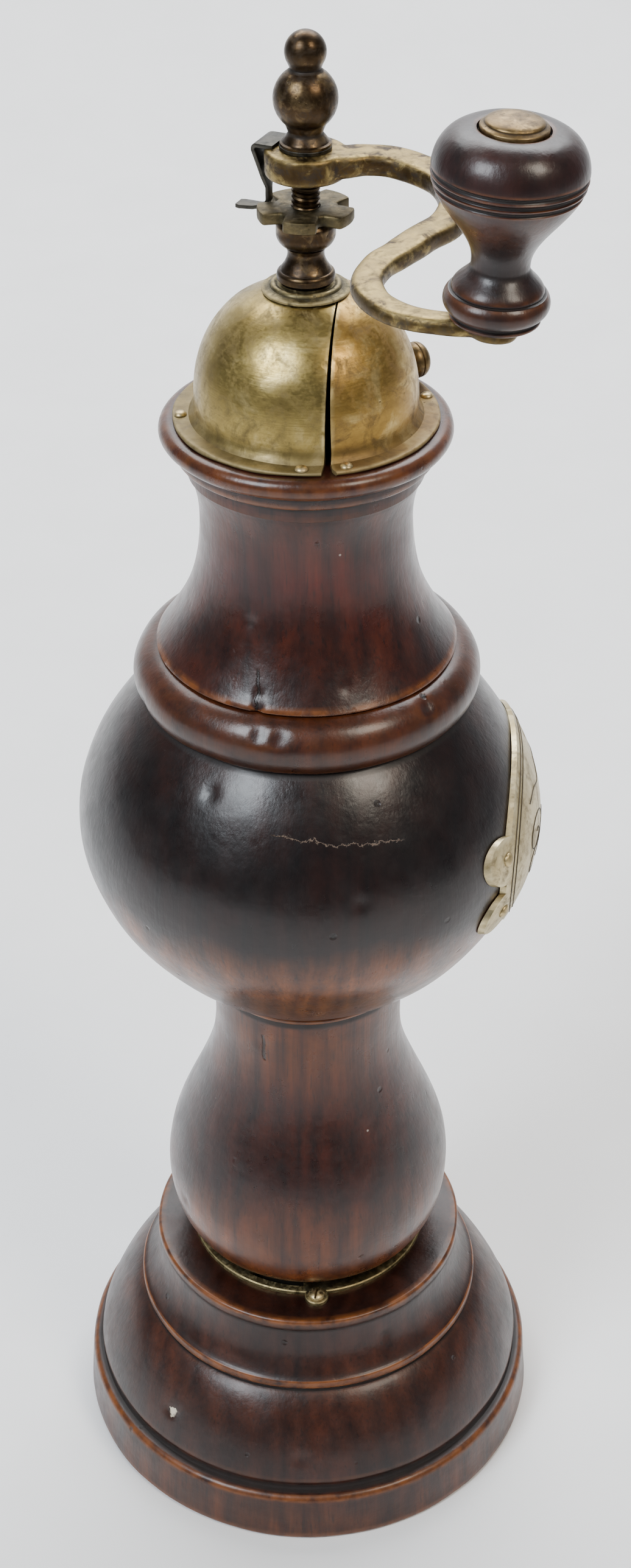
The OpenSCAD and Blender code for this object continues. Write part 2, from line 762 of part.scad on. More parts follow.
module burr_washer() {
    color(iron_grey) translate([0, 0, burr_z - 2.5]) difference() {
        cylinder(r = 6, h = 1);
        translate([0, 0, -1]) cylinder(r = spindle_r, h = 3);
    }
}

module burr_nut() {
    color(steel_dark) translate([0, 0, burr_z - 5.7]) difference() {
        cylinder(r = 5.5, h = 3.2, $fn = 6);
        translate([0, 0, -1]) cylinder(r = spindle_r, h = 6);
    }
}

// Centre line of the bar, and the direction across it
crank_line = smooth([for (b = crank_bends) crank_reach * b]);
function across(p, i) =
    let (d = p[min(i + 1, len(p) - 1)] - p[max(i - 1, 0)]) [-d[1], d[0]] / norm(d);
function bar_half(i) = (bar_w_hub + (bar_w_end - bar_w_hub) * i / (len(crank_line) - 1)) / 2;

// Places the children on the leaning axis of the handle, z = 0 at the boss's top
module on_handle_axis() {
    rotate([0, 0, crank_turn]) translate([crank_reach, 0, boss_top_z])
        rotate([0, 0, handle_lean_turn - crank_turn]) rotate([0, handle_lean, 0]) children();
}

module crank_arm() {
    count = len(crank_line);
    left = [for (i = [0:count - 1]) crank_line[i] + bar_half(i) * across(crank_line, i)];
    right = [for (i = [0:count - 1]) crank_line[i] - bar_half(i) * across(crank_line, i)];
    end_top_z = boss_top_z - 0.3;
    color(brass_old) difference() {
        union() {
            intersection() {
                rotate([0, 0, crank_turn]) linear_extrude(2 * hub_top_z) polygon(concat(left, back(right)));
                turned([[0, bar_low_z], [hub_r, bar_low_z], [crank_reach, end_top_z - bar_t_end],
                    [crank_reach + 9, end_top_z - bar_t_end], [crank_reach + 9, end_top_z],
                    [crank_reach, end_top_z], [hub_r, hub_top_z - 0.1], [0, hub_top_z - 0.1]]);
            }
            turned([[0, hub_z], [hub_r - 0.7, hub_z], [hub_r, hub_z + 0.8],
                [hub_r, hub_top_z - 0.7], [hub_r - 0.7, hub_top_z], [0, hub_top_z]]);
            on_handle_axis() turned([[0, -boss_h], [boss_r - 0.5, -boss_h],
                [boss_r, -boss_h + 0.5], [boss_r, -0.4], [boss_r - 0.4, 0], [0, 0]]);
        }
        translate([0, 0, hub_z - 1]) cylinder(r = spindle_r, h = hub_h + 2);
        on_handle_axis() translate([0, 0, -2 * boss_h]) cylinder(r = pin_r, h = 3 * boss_h);
    }
}

// The clamped ring of the nut catch, under the finial
module catch_plate() {
    color(steel_dark) difference() {
        translate([0, 0, hub_top_z]) cylinder(r = finial_foot_r + 0.2, h = catch_t);
        translate([0, 0, hub_top_z - 1]) cylinder(r = thread_r, h = catch_t + 2);
    }
}

// The free part of the catch: a plate, a leg in a notch of the nut, and a thumb tab
module catch_spring() {
    top = hub_top_z + catch_t;
    low = nut_z + 1.4;
    side = [[catch_hinge, hub_top_z], [catch_bend - catch_t - 0.3, hub_top_z],
        [catch_leg - catch_t, low + 3], [catch_leg - catch_t, low], [catch_leg, low - catch_t],
        [catch_tab, low - catch_t - 0.5], [catch_tab, low - 0.5], [catch_leg + 0.6, low],
        [catch_leg, low + 3], [catch_bend, top - 0.6], [catch_bend - 0.8, top], [catch_hinge + 0.3, top]];
    half = catch_w / 2;
    foot = catch_foot_w / 2;
    front = [[-half, top + 1], [-half, hub_top_z - 1], [-foot, nut_top_z + 1], [-foot, nut_z],
        [-foot - 0.8, low - 3], [foot + 0.8, low - 3], [foot, nut_z], [foot, nut_top_z + 1],
        [half, hub_top_z - 1], [half, top + 1]];
    color(steel_dark) rotate([0, 0, catch_turn]) intersection() {
        rotate([90, 0, 0]) linear_extrude(catch_w + 2, center = true) polygon(side);
        rotate([90, 0, 90]) linear_extrude(far) polygon(front);
    }
}

module finial_nut() {
    ball = 6.15;
    bud = 3.95;
    waist = 3.35;
    ball_z = finial_z + 8.75;
    bud_z = ball_z + 8.7;
    ball_angle = acos((waist + 0.6) / ball);
    bud_angle = acos((bud - 0.6) / bud);
    color(bronze_dark) difference() {
        turned(concat(
            [[0, finial_z], [finial_foot_r, finial_z], [finial_foot_r, finial_z + 0.5],
                [finial_foot_r - 0.4, finial_z + 0.7], [waist + 0.1, finial_z + 1.9],
                [waist, finial_z + 2.5]],
            arc([0, ball_z], ball, -ball_angle, ball_angle, 14),
            [[3, bud_z - 3.1]],
            arc([0, bud_z], bud, -bud_angle, 90, 12)));
        translate([0, 0, finial_z - 1]) cylinder(r = thread_r, h = 9);
    }
}

module handle_pin() {
    rim = knob_z + knob_h;
    seat = rim - recess_h + seat_gap;
    color(brass_pale) on_handle_axis() turned(concat(
        [[0, -boss_h - 0.7], [pin_r, -boss_h - 0.7], [pin_r, seat], [cap_r, seat],
            [cap_r, rim + 0.3]],
        bulge(cap_r - 0.1, rim + 0.5, 0, rim + 1.8, 2, 8)));
}

// ---- handle ----

// Outline of the knob's body above its neck
function knob_radius_at(z) = knob_neck_r + (knob_r - knob_neck_r)
    * (1 - cos(180 * (z - knob_neck_z) / (knob_wide_z - knob_neck_z))) / 2;

module handle_knob() {
    bore = pin_r + run_gap;
    rim = knob_z + knob_h;
    body = [for (i = [1:14]) let (z = knob_neck_z + 0.9 + (knob_wide_z - knob_neck_z - 0.9) * i / 14)
        [knob_radius_at(z), z]];
    color(wood_dark) on_handle_axis() difference() {
        turned(concat(
            [[bore, knob_z], [knob_foot_r - 1.5, knob_z], [knob_foot_r - 1.3, knob_step_z]],
            arc([knob_foot_r - 2.3, knob_bead_z], 2.3, -65, 55, 8),
            [[knob_lip_r - 0.1, knob_lip_z - 0.1], [knob_lip_r, knob_lip_z + 0.1]],
            [for (i = [1:7]) let (u = i / 7) [knob_neck_r + (knob_lip_r - knob_neck_r)
                * (1 + cos(180 * u)) / 2, knob_lip_z + 0.1 + (knob_neck_z - knob_lip_z - 0.1) * u]],
            body,
            bulge(knob_r, knob_wide_z + 0.01, knob_top_r, rim, 2.1, 10),
            [[knob_top_r, rim - recess_h], [bore, rim - recess_h]]));
        for (drop = knob_grooves) let (z = knob_wide_z + drop)
            rotate_extrude() translate([knob_radius_at(min(z, knob_wide_z)), z])
                circle(knob_groove, $fn = 16);
    }
}

base_bowl();
bayonet_ring();
ring_screws();
bulb_pedestal();
foot_ring();
foot_screws();
belly_hopper();
neck_collar();
outer_burr();
burr_bridge();
burr_screws();
name_plate();
plate_pins();
dome_shell_left();
dome_shell_right();
dome_pins();
boss_washer();
spindle_bushing();
bushing_nut();
door_panel();
door_knob();
star_nut();
spindle();
inner_burr();
burr_washer();
burr_nut();
crank_arm();
catch_plate();
finial_nut();
handle_pin();
catch_spring();
handle_knob();
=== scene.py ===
"""Looks of a turned wooden pepper mill with a sheet brass dome and a hand crank.

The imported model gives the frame: where each piece lies and what it rides on. Every class below is one
sub-assembly. It holds its sizes in millimetres as fields, builds its meshes in metres around the frame,
and dresses them. +Z runs up the spindle, +X points at the name plate and -Y at the viewer.
"""

import json
import logging
import math
from dataclasses import dataclass
from enum import Enum
from typing import Callable, Optional, Sequence

import bmesh
import bpy
import numpy as np
from mathutils import Matrix, Vector, noise


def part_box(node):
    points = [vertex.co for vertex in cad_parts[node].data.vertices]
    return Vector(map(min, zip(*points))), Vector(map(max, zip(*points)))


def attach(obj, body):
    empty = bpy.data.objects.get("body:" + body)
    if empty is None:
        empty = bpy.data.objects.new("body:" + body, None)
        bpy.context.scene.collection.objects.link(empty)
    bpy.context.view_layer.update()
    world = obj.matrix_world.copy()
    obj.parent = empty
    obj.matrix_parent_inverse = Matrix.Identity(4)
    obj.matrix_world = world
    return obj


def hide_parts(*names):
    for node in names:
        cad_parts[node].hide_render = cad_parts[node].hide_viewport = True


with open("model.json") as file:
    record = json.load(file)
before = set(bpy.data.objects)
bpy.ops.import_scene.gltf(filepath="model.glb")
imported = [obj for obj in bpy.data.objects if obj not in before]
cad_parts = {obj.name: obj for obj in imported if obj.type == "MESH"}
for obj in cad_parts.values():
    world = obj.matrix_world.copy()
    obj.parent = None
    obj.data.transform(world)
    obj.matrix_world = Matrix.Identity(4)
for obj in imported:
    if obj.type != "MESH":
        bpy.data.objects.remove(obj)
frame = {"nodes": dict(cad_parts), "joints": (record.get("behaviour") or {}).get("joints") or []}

LOG = logging.getLogger("pepper_mill")
MM = 0.001
TURN = 2 * math.pi
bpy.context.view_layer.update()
# Tints of pale cracks, of bare wood in a chip, and of dust
CRACK_PALE = (0.16, 0.11, 0.08)
BARE_WOOD = (0.62, 0.55, 0.42)
DUST = (0.5, 0.46, 0.4)

Point = tuple[float, float]
Outline = list[Point]
Colour = tuple[float, float, float]


# ---------------------------------------------------------------------------------------------------
# The frame, in millimetres


def low(node: str) -> float:
    """Height of a node's lowest point in millimetres."""
    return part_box(node)[0].z / MM


def high(node: str) -> float:
    """Height of a node's highest point in millimetres."""
    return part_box(node)[1].z / MM


def joint(name: str) -> dict:
    """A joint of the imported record.

    Args:
        name: The joint's name.

    Returns:
        The record's own entry, with its axis and, on a hinge, its position in metres.
    """
    return next(j for j in frame["joints"] if j["name"] == name)


# ---------------------------------------------------------------------------------------------------
# Outlines: lists of (radius, height) points


def arc(centre: Point, radius: float, start: float, end: float, steps: int = 10) -> Outline:
    """Points on an arc.

    Args:
        centre: Centre of the arc.
        radius: Its radius.
        start: First angle in degrees, 0 pointing away from the spindle.
        end: Last angle in degrees.
        steps: Number of segments.

    Returns:
        The points from start to end.
    """
    angles = np.radians(np.linspace(start, end, steps + 1))
    return [(centre[0] + radius * math.cos(a), centre[1] + radius * math.sin(a)) for a in angles]


def sweep(start: Point, end: Point, share: Callable[[float], float], steps: int = 28) -> Outline:
    """Points whose radius follows a rule between two places.

    Args:
        start: First point.
        end: Last point.
        share: Gives, for a share of the height, how much of the first radius is left.
        steps: Number of segments.

    Returns:
        The points from start to end.
    """
    shares = [i / steps for i in range(steps + 1)]
    return [(end[0] + (start[0] - end[0]) * share(u), start[1] + (end[1] - start[1]) * u) for u in shares]


def taper(start: Point, end: Point, power: float, steps: int = 40) -> Outline:
    """A round or S-shaped taper from a wide place to a slim one."""
    return sweep(start, end, lambda u: math.cos(math.pi / 2 * u) ** power if u < 1 else 0.0, steps)


def swell(start: Point, end: Point, power: float, steps: int = 40) -> Outline:
    """A round swell from a slim place to a wide one."""
    return sweep(start, end, lambda u: 1 - math.sin(math.pi / 2 * u) ** power, steps)


def bulge(start: Point, end: Point, power: float, steps: int = 24) -> Outline:
    """A convex quarter that leaves the first point upright.

    Args:
        start: First point, where the outline is upright.
        end: Last point.
        power: 2 gives an ellipse, less gives a straighter line.
        steps: Number of segments.

    Returns:
        The points, closer together where the outline turns.
    """
    rises = [math.sin(math.pi / 2 * i / steps) for i in range(steps + 1)]
    return [(end[0] + (start[0] - end[0]) * max(1 - u ** power, 0) ** (1 / power),
             start[1] + (end[1] - start[1]) * u) for u in rises]


def cove(start: Point, end: Point, power: float, steps: int = 28) -> Outline:
    """A concave sweep that ends upright."""
    return sweep(start, end, lambda u: (1 - u) ** power, steps)


def flare(start: Point, end: Point, power: float, steps: int = 14) -> Outline:
    """A concave sweep that starts upright."""
    return sweep(start, end, lambda u: 1 - u ** power, steps)


def refined(outline: Outline, step: float) -> Outline:
    """The same outline with its long edges divided.

    Args:
        outline: Points of the outline.
        step: Longest edge to leave, in millimetres.

    Returns:
        A new list that keeps every point of the old one.
    """
    points: Outline = []
    for (r0, z0), (r1, z1) in zip(outline, outline[1:]):
        count = max(1, math.ceil(math.hypot(r1 - r0, z1 - z0) / step))
        points += [(r0 + (r1 - r0) * i / count, z0 + (z1 - z0) * i / count) for i in range(count)]
    return points + [outline[-1]]


def superellipse(a: float, b: float, power: float, end_radius: float, base_z: float,
                 steps: int = 44) -> Outline:
    """The dome's quarter curve.

    Args:
        a: Radius at its foot.
        b: Height.
        power: Fullness, 2 for an ellipse.
        end_radius: Radius at which it stops.
        base_z: Height of its foot.
        steps: Number of segments.

    Returns:
        The points from the foot up.
    """
    last = math.acos((end_radius / a) ** (power / 2))
    angles = [last * i / steps for i in range(steps + 1)]
    return [(a * math.cos(t) ** (2 / power), base_z + b * math.sin(t) ** (2 / power)) for t in angles]


# ---------------------------------------------------------------------------------------------------
# Meshes


def new_object(name: str, mesh: bpy.types.Mesh) -> bpy.types.Object:
    """Links a mesh into the scene as an object at the origin."""
    piece = bpy.data.objects.new(name, mesh)
    bpy.context.scene.collection.objects.link(piece)
    return piece


def mesh_from(name: str, points: np.ndarray, faces: Sequence[Sequence[int]]) -> bpy.types.Object:
    """An object from points in millimetres and faces.

    Args:
        name: Name of the object and its mesh.
        points: Rows of x, y, z in millimetres.
        faces: Indices of each face's points.

    Returns:
        The object, its mesh in metres with normals outwards.
    """
    mesh = bpy.data.meshes.new(name)
    mesh.from_pydata((np.asarray(points, float) * MM).tolist(), [], [list(f) for f in faces])
    outwards(mesh)
    return new_object(name, mesh)


def outwards(mesh: bpy.types.Mesh) -> None:
    """Turns every face of a closed mesh outwards and merges doubled points."""
    work = bmesh.new()
    work.from_mesh(mesh)
    bmesh.ops.remove_doubles(work, verts=work.verts, dist=1e-7)
    bmesh.ops.recalc_face_normals(work, faces=work.faces)
    work.to_mesh(mesh)
    work.free()
    mesh.update()


def turned(name: str, outline: Outline, segments: int = 192, step: float = 1.2,
           place: Optional[Matrix] = None) -> bpy.types.Object:
    """A turned solid from a closed outline.

    Args:
        name: Name of the piece.
        outline: Points of the outline; it closes from the last to the first.
        segments: Faces round the axis.
        step: Longest edge along the outline, in millimetres.
        place: Where the axis stands, in metres, or None for the spindle's line.

    Returns:
        The closed mesh as an object.
    """
    rim = refined(outline + [outline[0]], step)[:-1]
    angles = np.arange(segments) * TURN / segments
    circle = np.stack([np.cos(angles), np.sin(angles)], 1)
    points: list[list[float]] = []
    rows: list[list[int]] = []
    for radius, z in rim:
        if radius < 1e-6:
            rows.append([len(points)] * segments)
            points.append([0.0, 0.0, z])
        else:
            rows.append(list(range(len(points), len(points) + segments)))
            points += [[radius * c, radius * s, z] for c, s in circle]
    faces = []
    for a, b in zip(rows, rows[1:] + rows[:1]):
        for i in range(segments):
            j = (i + 1) % segments
            face = list(dict.fromkeys([a[i], a[j], b[j], b[i]]))
            if len(face) > 2:
                faces.append(face)
    piece = mesh_from(name, np.array(points), faces)
    if place is not None:
        piece.data.transform(place)
    return piece


def prism(name: str, outline: Sequence[Point], depth: tuple[float, float], place: Optional[Matrix] = None,
          edge: float = 0.0) -> bpy.types.Object:
    """A flat plate with an outline.

    Args:
        name: Name of the piece.
        outline: x, y points in millimetres, counter-clockwise.
        depth: Lowest and highest z in millimetres.
        place: Where it stands, in metres, or None.
        edge: Radius of its rounded edges in millimetres.

    Returns:
        The closed plate as an object.
    """
    count = len(outline)
    points = [[x, y, z] for z in depth for x, y in outline]
    sides = [[i, (i + 1) % count, count + (i + 1) % count, count + i] for i in range(count)]
    ends = [list(range(count))[::-1], list(range(count, 2 * count))]
    piece = mesh_from(name, np.array(points), ends + sides)
    if edge:
        rounded(piece, edge)
    if place is not None:
        piece.data.transform(place)
    return piece


def rounded(piece: bpy.types.Object, width: float, angle: float = 30.0, segments: int = 2) -> None:
    """Rounds a piece's sharp edges and bakes the result into its mesh.

    Args:
        piece: The object.
        width: Width of the rounding in millimetres.
        angle: Edges sharper than this, in degrees, are rounded.
        segments: Faces across the rounding.
    """
    bevel = piece.modifiers.new("edges", "BEVEL")
    bevel.width = width * MM
    bevel.segments = segments
    bevel.limit_method = "ANGLE"
    bevel.angle_limit = math.radians(angle)
    bake(piece)


def bake(piece: bpy.types.Object) -> None:
    """Replaces a piece's mesh by what its modifiers make of it, and removes them."""
    shape = piece.evaluated_get(bpy.context.evaluated_depsgraph_get())
    made = bpy.data.meshes.new_from_object(shape)
    piece.modifiers.clear()
    piece.data = made
    made.name = piece.name


def carve(piece: bpy.types.Object, tool: bpy.types.Object, operation: str) -> None:
    """Cuts a piece with another one, which is then removed.

    Args:
        piece: The object to cut.
        tool: The cutting object.
        operation: DIFFERENCE, INTERSECT or UNION.
    """
    cut = piece.modifiers.new("cut", "BOOLEAN")
    cut.operation = operation
    cut.solver = "EXACT"
    cut.object = tool
    bake(piece)
    bpy.data.objects.remove(tool)


def joined(name: str, pieces: Sequence[bpy.types.Object]) -> bpy.types.Object:
    """One object that holds the meshes of several, which are removed."""
    work = bmesh.new()
    for piece in pieces:
        work.from_mesh(piece.data)
        bpy.data.objects.remove(piece)
    mesh = bpy.data.meshes.new(name)
    work.to_mesh(mesh)
    work.free()
    return new_object(name, mesh)


def positions(mesh: bpy.types.Mesh) -> np.ndarray:
    """A mesh's points as rows of x, y, z in metres."""
    flat = np.zeros(len(mesh.vertices) * 3)
    mesh.vertices.foreach_get("co", flat)
    return flat.reshape(-1, 3)


def set_positions(mesh: bpy.types.Mesh, points: np.ndarray) -> None:
    """Moves a mesh's points to rows of x, y, z in metres."""
    mesh.vertices.foreach_set("co", points.ravel())
    mesh.update()


def normals(mesh: bpy.types.Mesh) -> np.ndarray:
    """A mesh's point normals as rows."""
    flat = np.zeros(len(mesh.vertices) * 3)
    mesh.vertex_normals.foreach_get("vector", flat)
    return flat.reshape(-1, 3)


def mark_relief(piece: bpy.types.Object, width: float = 0.7, passes: int = 2) -> None:
    """Stores how far each point stands out: above 0.5 on edges, below it in hollows.

    Args:
        piece: The object, which gets a point attribute named relief.
        width: Size of the detail that counts fully, in millimetres.
        passes: Times that the values are evened out between neighbours.
    """
    mesh = piece.data
    edges = np.zeros(len(mesh.edges) * 2, int)
    mesh.edges.foreach_get("vertices", edges)
    a, b = edges.reshape(-1, 2).T
    points, up = positions(mesh), normals(mesh)
    across = points[b] - points[a]
    length = np.maximum(np.linalg.norm(across, axis=1), 1e-7)
    bend = np.einsum("ij,ij->i", up[b] - up[a], across) / length ** 2
    total = np.bincount(a, bend, len(points)) + np.bincount(b, bend, len(points))
    count = np.maximum(np.bincount(a, minlength=len(points)) + np.bincount(b, minlength=len(points)), 1)
    value = np.clip(total / count * width * MM, -1, 1)
    for _ in range(passes):
        spread = np.bincount(a, value[b], len(points)) + np.bincount(b, value[a], len(points))
        value = 0.5 * value + 0.5 * spread / count
    layer = mesh.attributes.get("relief") or mesh.attributes.new("relief", "FLOAT", "POINT")
    layer.data.foreach_set("value", (0.5 + 0.5 * value).astype(np.float32))


@dataclass(frozen=True)
class Dent:
    """A dent or chip in a turned surface: azimuth in degrees, and height, size and depth in millimetres."""

    azimuth: float
    height: float
    size: float
    depth: float


def aged(piece: bpy.types.Object, wobble: float, grain: float, dents: Sequence[Dent] = ()) -> None:
    """Makes a smooth surface look handled: slight waves, and dents where they are listed.

    Args:
        piece: The object, whose points move along their normals.
        wobble: Height of the waves in millimetres.
        grain: Length of the waves in millimetres.
        dents: Dents to press in.
    """
    mesh = piece.data
    points, up = positions(mesh), normals(mesh)
    shift = np.array([noise.noise(Vector(p) / (grain * MM)) for p in points]) * wobble * MM
    azimuth = np.degrees(np.arctan2(points[:, 1], points[:, 0]))
    radius = np.hypot(points[:, 0], points[:, 1])
    for dent in dents:
        along = np.radians((azimuth - dent.azimuth + 180) % 360 - 180) * radius
        away = np.hypot(along, points[:, 2] - dent.height * MM) / (dent.size * MM)
        shift -= dent.depth * MM * np.exp(-away ** 2)
    set_positions(mesh, points + up * shift[:, None])


# ---------------------------------------------------------------------------------------------------
# Geometry Nodes: what repeats or follows a path


class Tree:
    """A geometry node tree with named inputs, built step by step."""

    def __init__(self, name: str, inputs: dict[str, str]) -> None:
        """Starts a tree.

        Args:
            name: Name of the tree.
            inputs: Socket type for each named input, besides the geometry.
        """
        self.group = bpy.data.node_groups.new(name, "GeometryNodeTree")
        self.group.interface.new_socket("Geometry", in_out="INPUT", socket_type="NodeSocketGeometry")
        for label, kind in inputs.items():
            self.group.interface.new_socket(label, in_out="INPUT", socket_type=kind)
        self.group.interface.new_socket("Geometry", in_out="OUTPUT", socket_type="NodeSocketGeometry")
        self.start = self.group.nodes.new("NodeGroupInput")
        self.end = self.group.nodes.new("NodeGroupOutput")

    def add(self, kind: str, links: Optional[dict] = None, **settings) -> bpy.types.Node:
        """Adds a node.

        Args:
            kind: The node's type, without its GeometryNode prefix where it has one.
            links: For each input's name or index, a socket to link or a value to set.
            settings: The node's own settings.

        Returns:
            The new node.
        """
        full = kind if kind.startswith(("Shader", "Function")) else "GeometryNode" + kind
        node = self.group.nodes.new(full)
        for label, value in settings.items():
            setattr(node, label, value)
        for label, value in (links or {}).items():
            if isinstance(value, bpy.types.NodeSocket):
                self.group.links.new(value, node.inputs[label])
            else:
                node.inputs[label].default_value = value
        return node

    def finish(self, geometry: bpy.types.NodeSocket) -> None:
        """Ends the tree in Realize Instances and Set Material."""
        real = self.add("RealizeInstances", {"Geometry": geometry})
        dressed = self.add("SetMaterial", {"Geometry": real.outputs[0],
                                           "Material": self.start.outputs["Material"]})
        self.group.links.new(dressed.outputs[0], self.end.inputs[0])

    def run(self, piece: bpy.types.Object, values: dict) -> bpy.types.Object:
        """Runs the tree on an object and keeps the result as its plain mesh.

        Args:
            piece: The object whose geometry goes in. A curve is swapped for a mesh object.
            values: A value for each named input.

        Returns:
            The object that holds the result.
        """
        modifier = piece.modifiers.new(self.group.name, "NODES")
        modifier.node_group = self.group
        sockets = {s.name: s.identifier for s in self.group.interface.items_tree if s.in_out == "INPUT"}
        for label, value in values.items():
            modifier[sockets[label]] = value
        shape = piece.evaluated_get(bpy.context.evaluated_depsgraph_get())
        mesh = bpy.data.meshes.new_from_object(shape)
        name = piece.name
        bpy.data.objects.remove(piece)
        outwards(mesh)
        mesh.name = name
        return new_object(name, mesh)


def fastener_tree() -> Tree:
    """A tree that sets a copy of one fastener on each point, turned at random about its own axis."""
    tree = Tree("fasteners_on_points", {"Pattern": "NodeSocketObject", "Seed": "NodeSocketInt",
                                        "Material": "NodeSocketMaterial"})
    pattern = tree.add("ObjectInfo", {"Object": tree.start.outputs["Pattern"]})
    normal = tree.add("InputNamedAttribute", {"Name": "lean"}, data_type="FLOAT_VECTOR")
    upright = tree.add("FunctionNodeAlignRotationToVector", {"Vector": normal.outputs[0]}, axis="Z")
    spin = tree.add("FunctionNodeRandomValue", {"Min": (0.0, 0.0, 0.0), "Max": (0.0, 0.0, TURN),
                                                "Seed": tree.start.outputs["Seed"]}, data_type="FLOAT_VECTOR")
    turned_by = tree.add("FunctionNodeEulerToRotation", {0: spin.outputs[0]})
    rotation = tree.add("FunctionNodeRotateRotation", {"Rotation": upright.outputs[0],
                                                       "Rotate By": turned_by.outputs[0]},
                        rotation_space="LOCAL")
    points = tree.add("MeshToPoints", {"Mesh": tree.start.outputs["Geometry"]})
    copies = tree.add("InstanceOnPoints", {"Points": points.outputs[0],
                                           "Instance": pattern.outputs["Geometry"],
                                           "Rotation": rotation.outputs[0]})
    tree.finish(copies.outputs[0])
    return tree


def wire_tree() -> Tree:
    """A tree that runs a round wire of one radius along a curve, with closed ends."""
    tree = Tree("wire_along_path", {"Radius": "NodeSocketFloat", "Sides": "NodeSocketInt",
                                    "Material": "NodeSocketMaterial"})
    ring = tree.add("CurvePrimitiveCircle", {"Resolution": tree.start.outputs["Sides"],
                                             "Radius": tree.start.outputs["Radius"]})
    wire = tree.add("CurveToMesh", {"Curve": tree.start.outputs["Geometry"],
                                    "Profile Curve": ring.outputs["Curve"], "Fill Caps": True})
    tree.finish(wire.outputs[0])
    return tree


def thread_tree() -> Tree:
    """A tree that winds a screw thread's ridge round the vertical axis."""
    tree = Tree("thread", {"Radius": "NodeSocketFloat", "Pitch": "NodeSocketFloat",
                           "Turns": "NodeSocketFloat", "Start": "NodeSocketVector",
                           "Material": "NodeSocketMaterial"})
    height = tree.add("ShaderNodeMath", {0: tree.start.outputs["Pitch"], 1: tree.start.outputs["Turns"]},
                      operation="MULTIPLY")
    helix = tree.add("CurveSpiral", {"Resolution": 40, "Rotations": tree.start.outputs["Turns"],
                                     "Start Radius": tree.start.outputs["Radius"],
                                     "End Radius": tree.start.outputs["Radius"], "Height": height.outputs[0]})
    half = tree.add("ShaderNodeMath", {0: tree.start.outputs["Pitch"], 1: 0.42}, operation="MULTIPLY")
    ridge = tree.add("CurvePrimitiveCircle", {"Resolution": 6, "Radius": half.outputs[0]})
    wound = tree.add("CurveToMesh", {"Curve": helix.outputs[0], "Profile Curve": ridge.outputs["Curve"],
                                     "Fill Caps": True})
    placed = tree.add("Transform", {"Geometry": wound.outputs[0], "Translation": tree.start.outputs["Start"]})
    tree.finish(placed.outputs[0])
    return tree


def points_object(name: str, places: Sequence[Vector], leans: Sequence[Vector]) -> bpy.types.Object:
    """A mesh of loose points, each with the direction that its fastener's head faces.

    Args:
        name: Name of the object.
        places: Points in metres.
        leans: A direction for each point.

    Returns:
        The object, with a point attribute named lean.
    """
    mesh = bpy.data.meshes.new(name)
    mesh.from_pydata([tuple(p) for p in places], [], [])
    layer = mesh.attributes.new("lean", "FLOAT_VECTOR", "POINT")
    layer.data.foreach_set("vector", [c for lean in leans for c in lean])
    return new_object(name, mesh)


def path_object(name: str, paths: Sequence[Sequence[Vector]], closed: bool = False) -> bpy.types.Object:
    """A curve object with a straight-segment line through each list of points, in metres."""
    curve = bpy.data.curves.new(name, "CURVE")
    curve.dimensions = "3D"
    for path in paths:
        spline = curve.splines.new("POLY")
        spline.points.add(len(path) - 1)
        spline.points.foreach_set("co", [c for p in path for c in (*p, 1.0)])
        spline.use_cyclic_u = closed
    piece = bpy.data.objects.new(name, curve)
    bpy.context.scene.collection.objects.link(piece)
    return piece


# ---------------------------------------------------------------------------------------------------
# Finishes


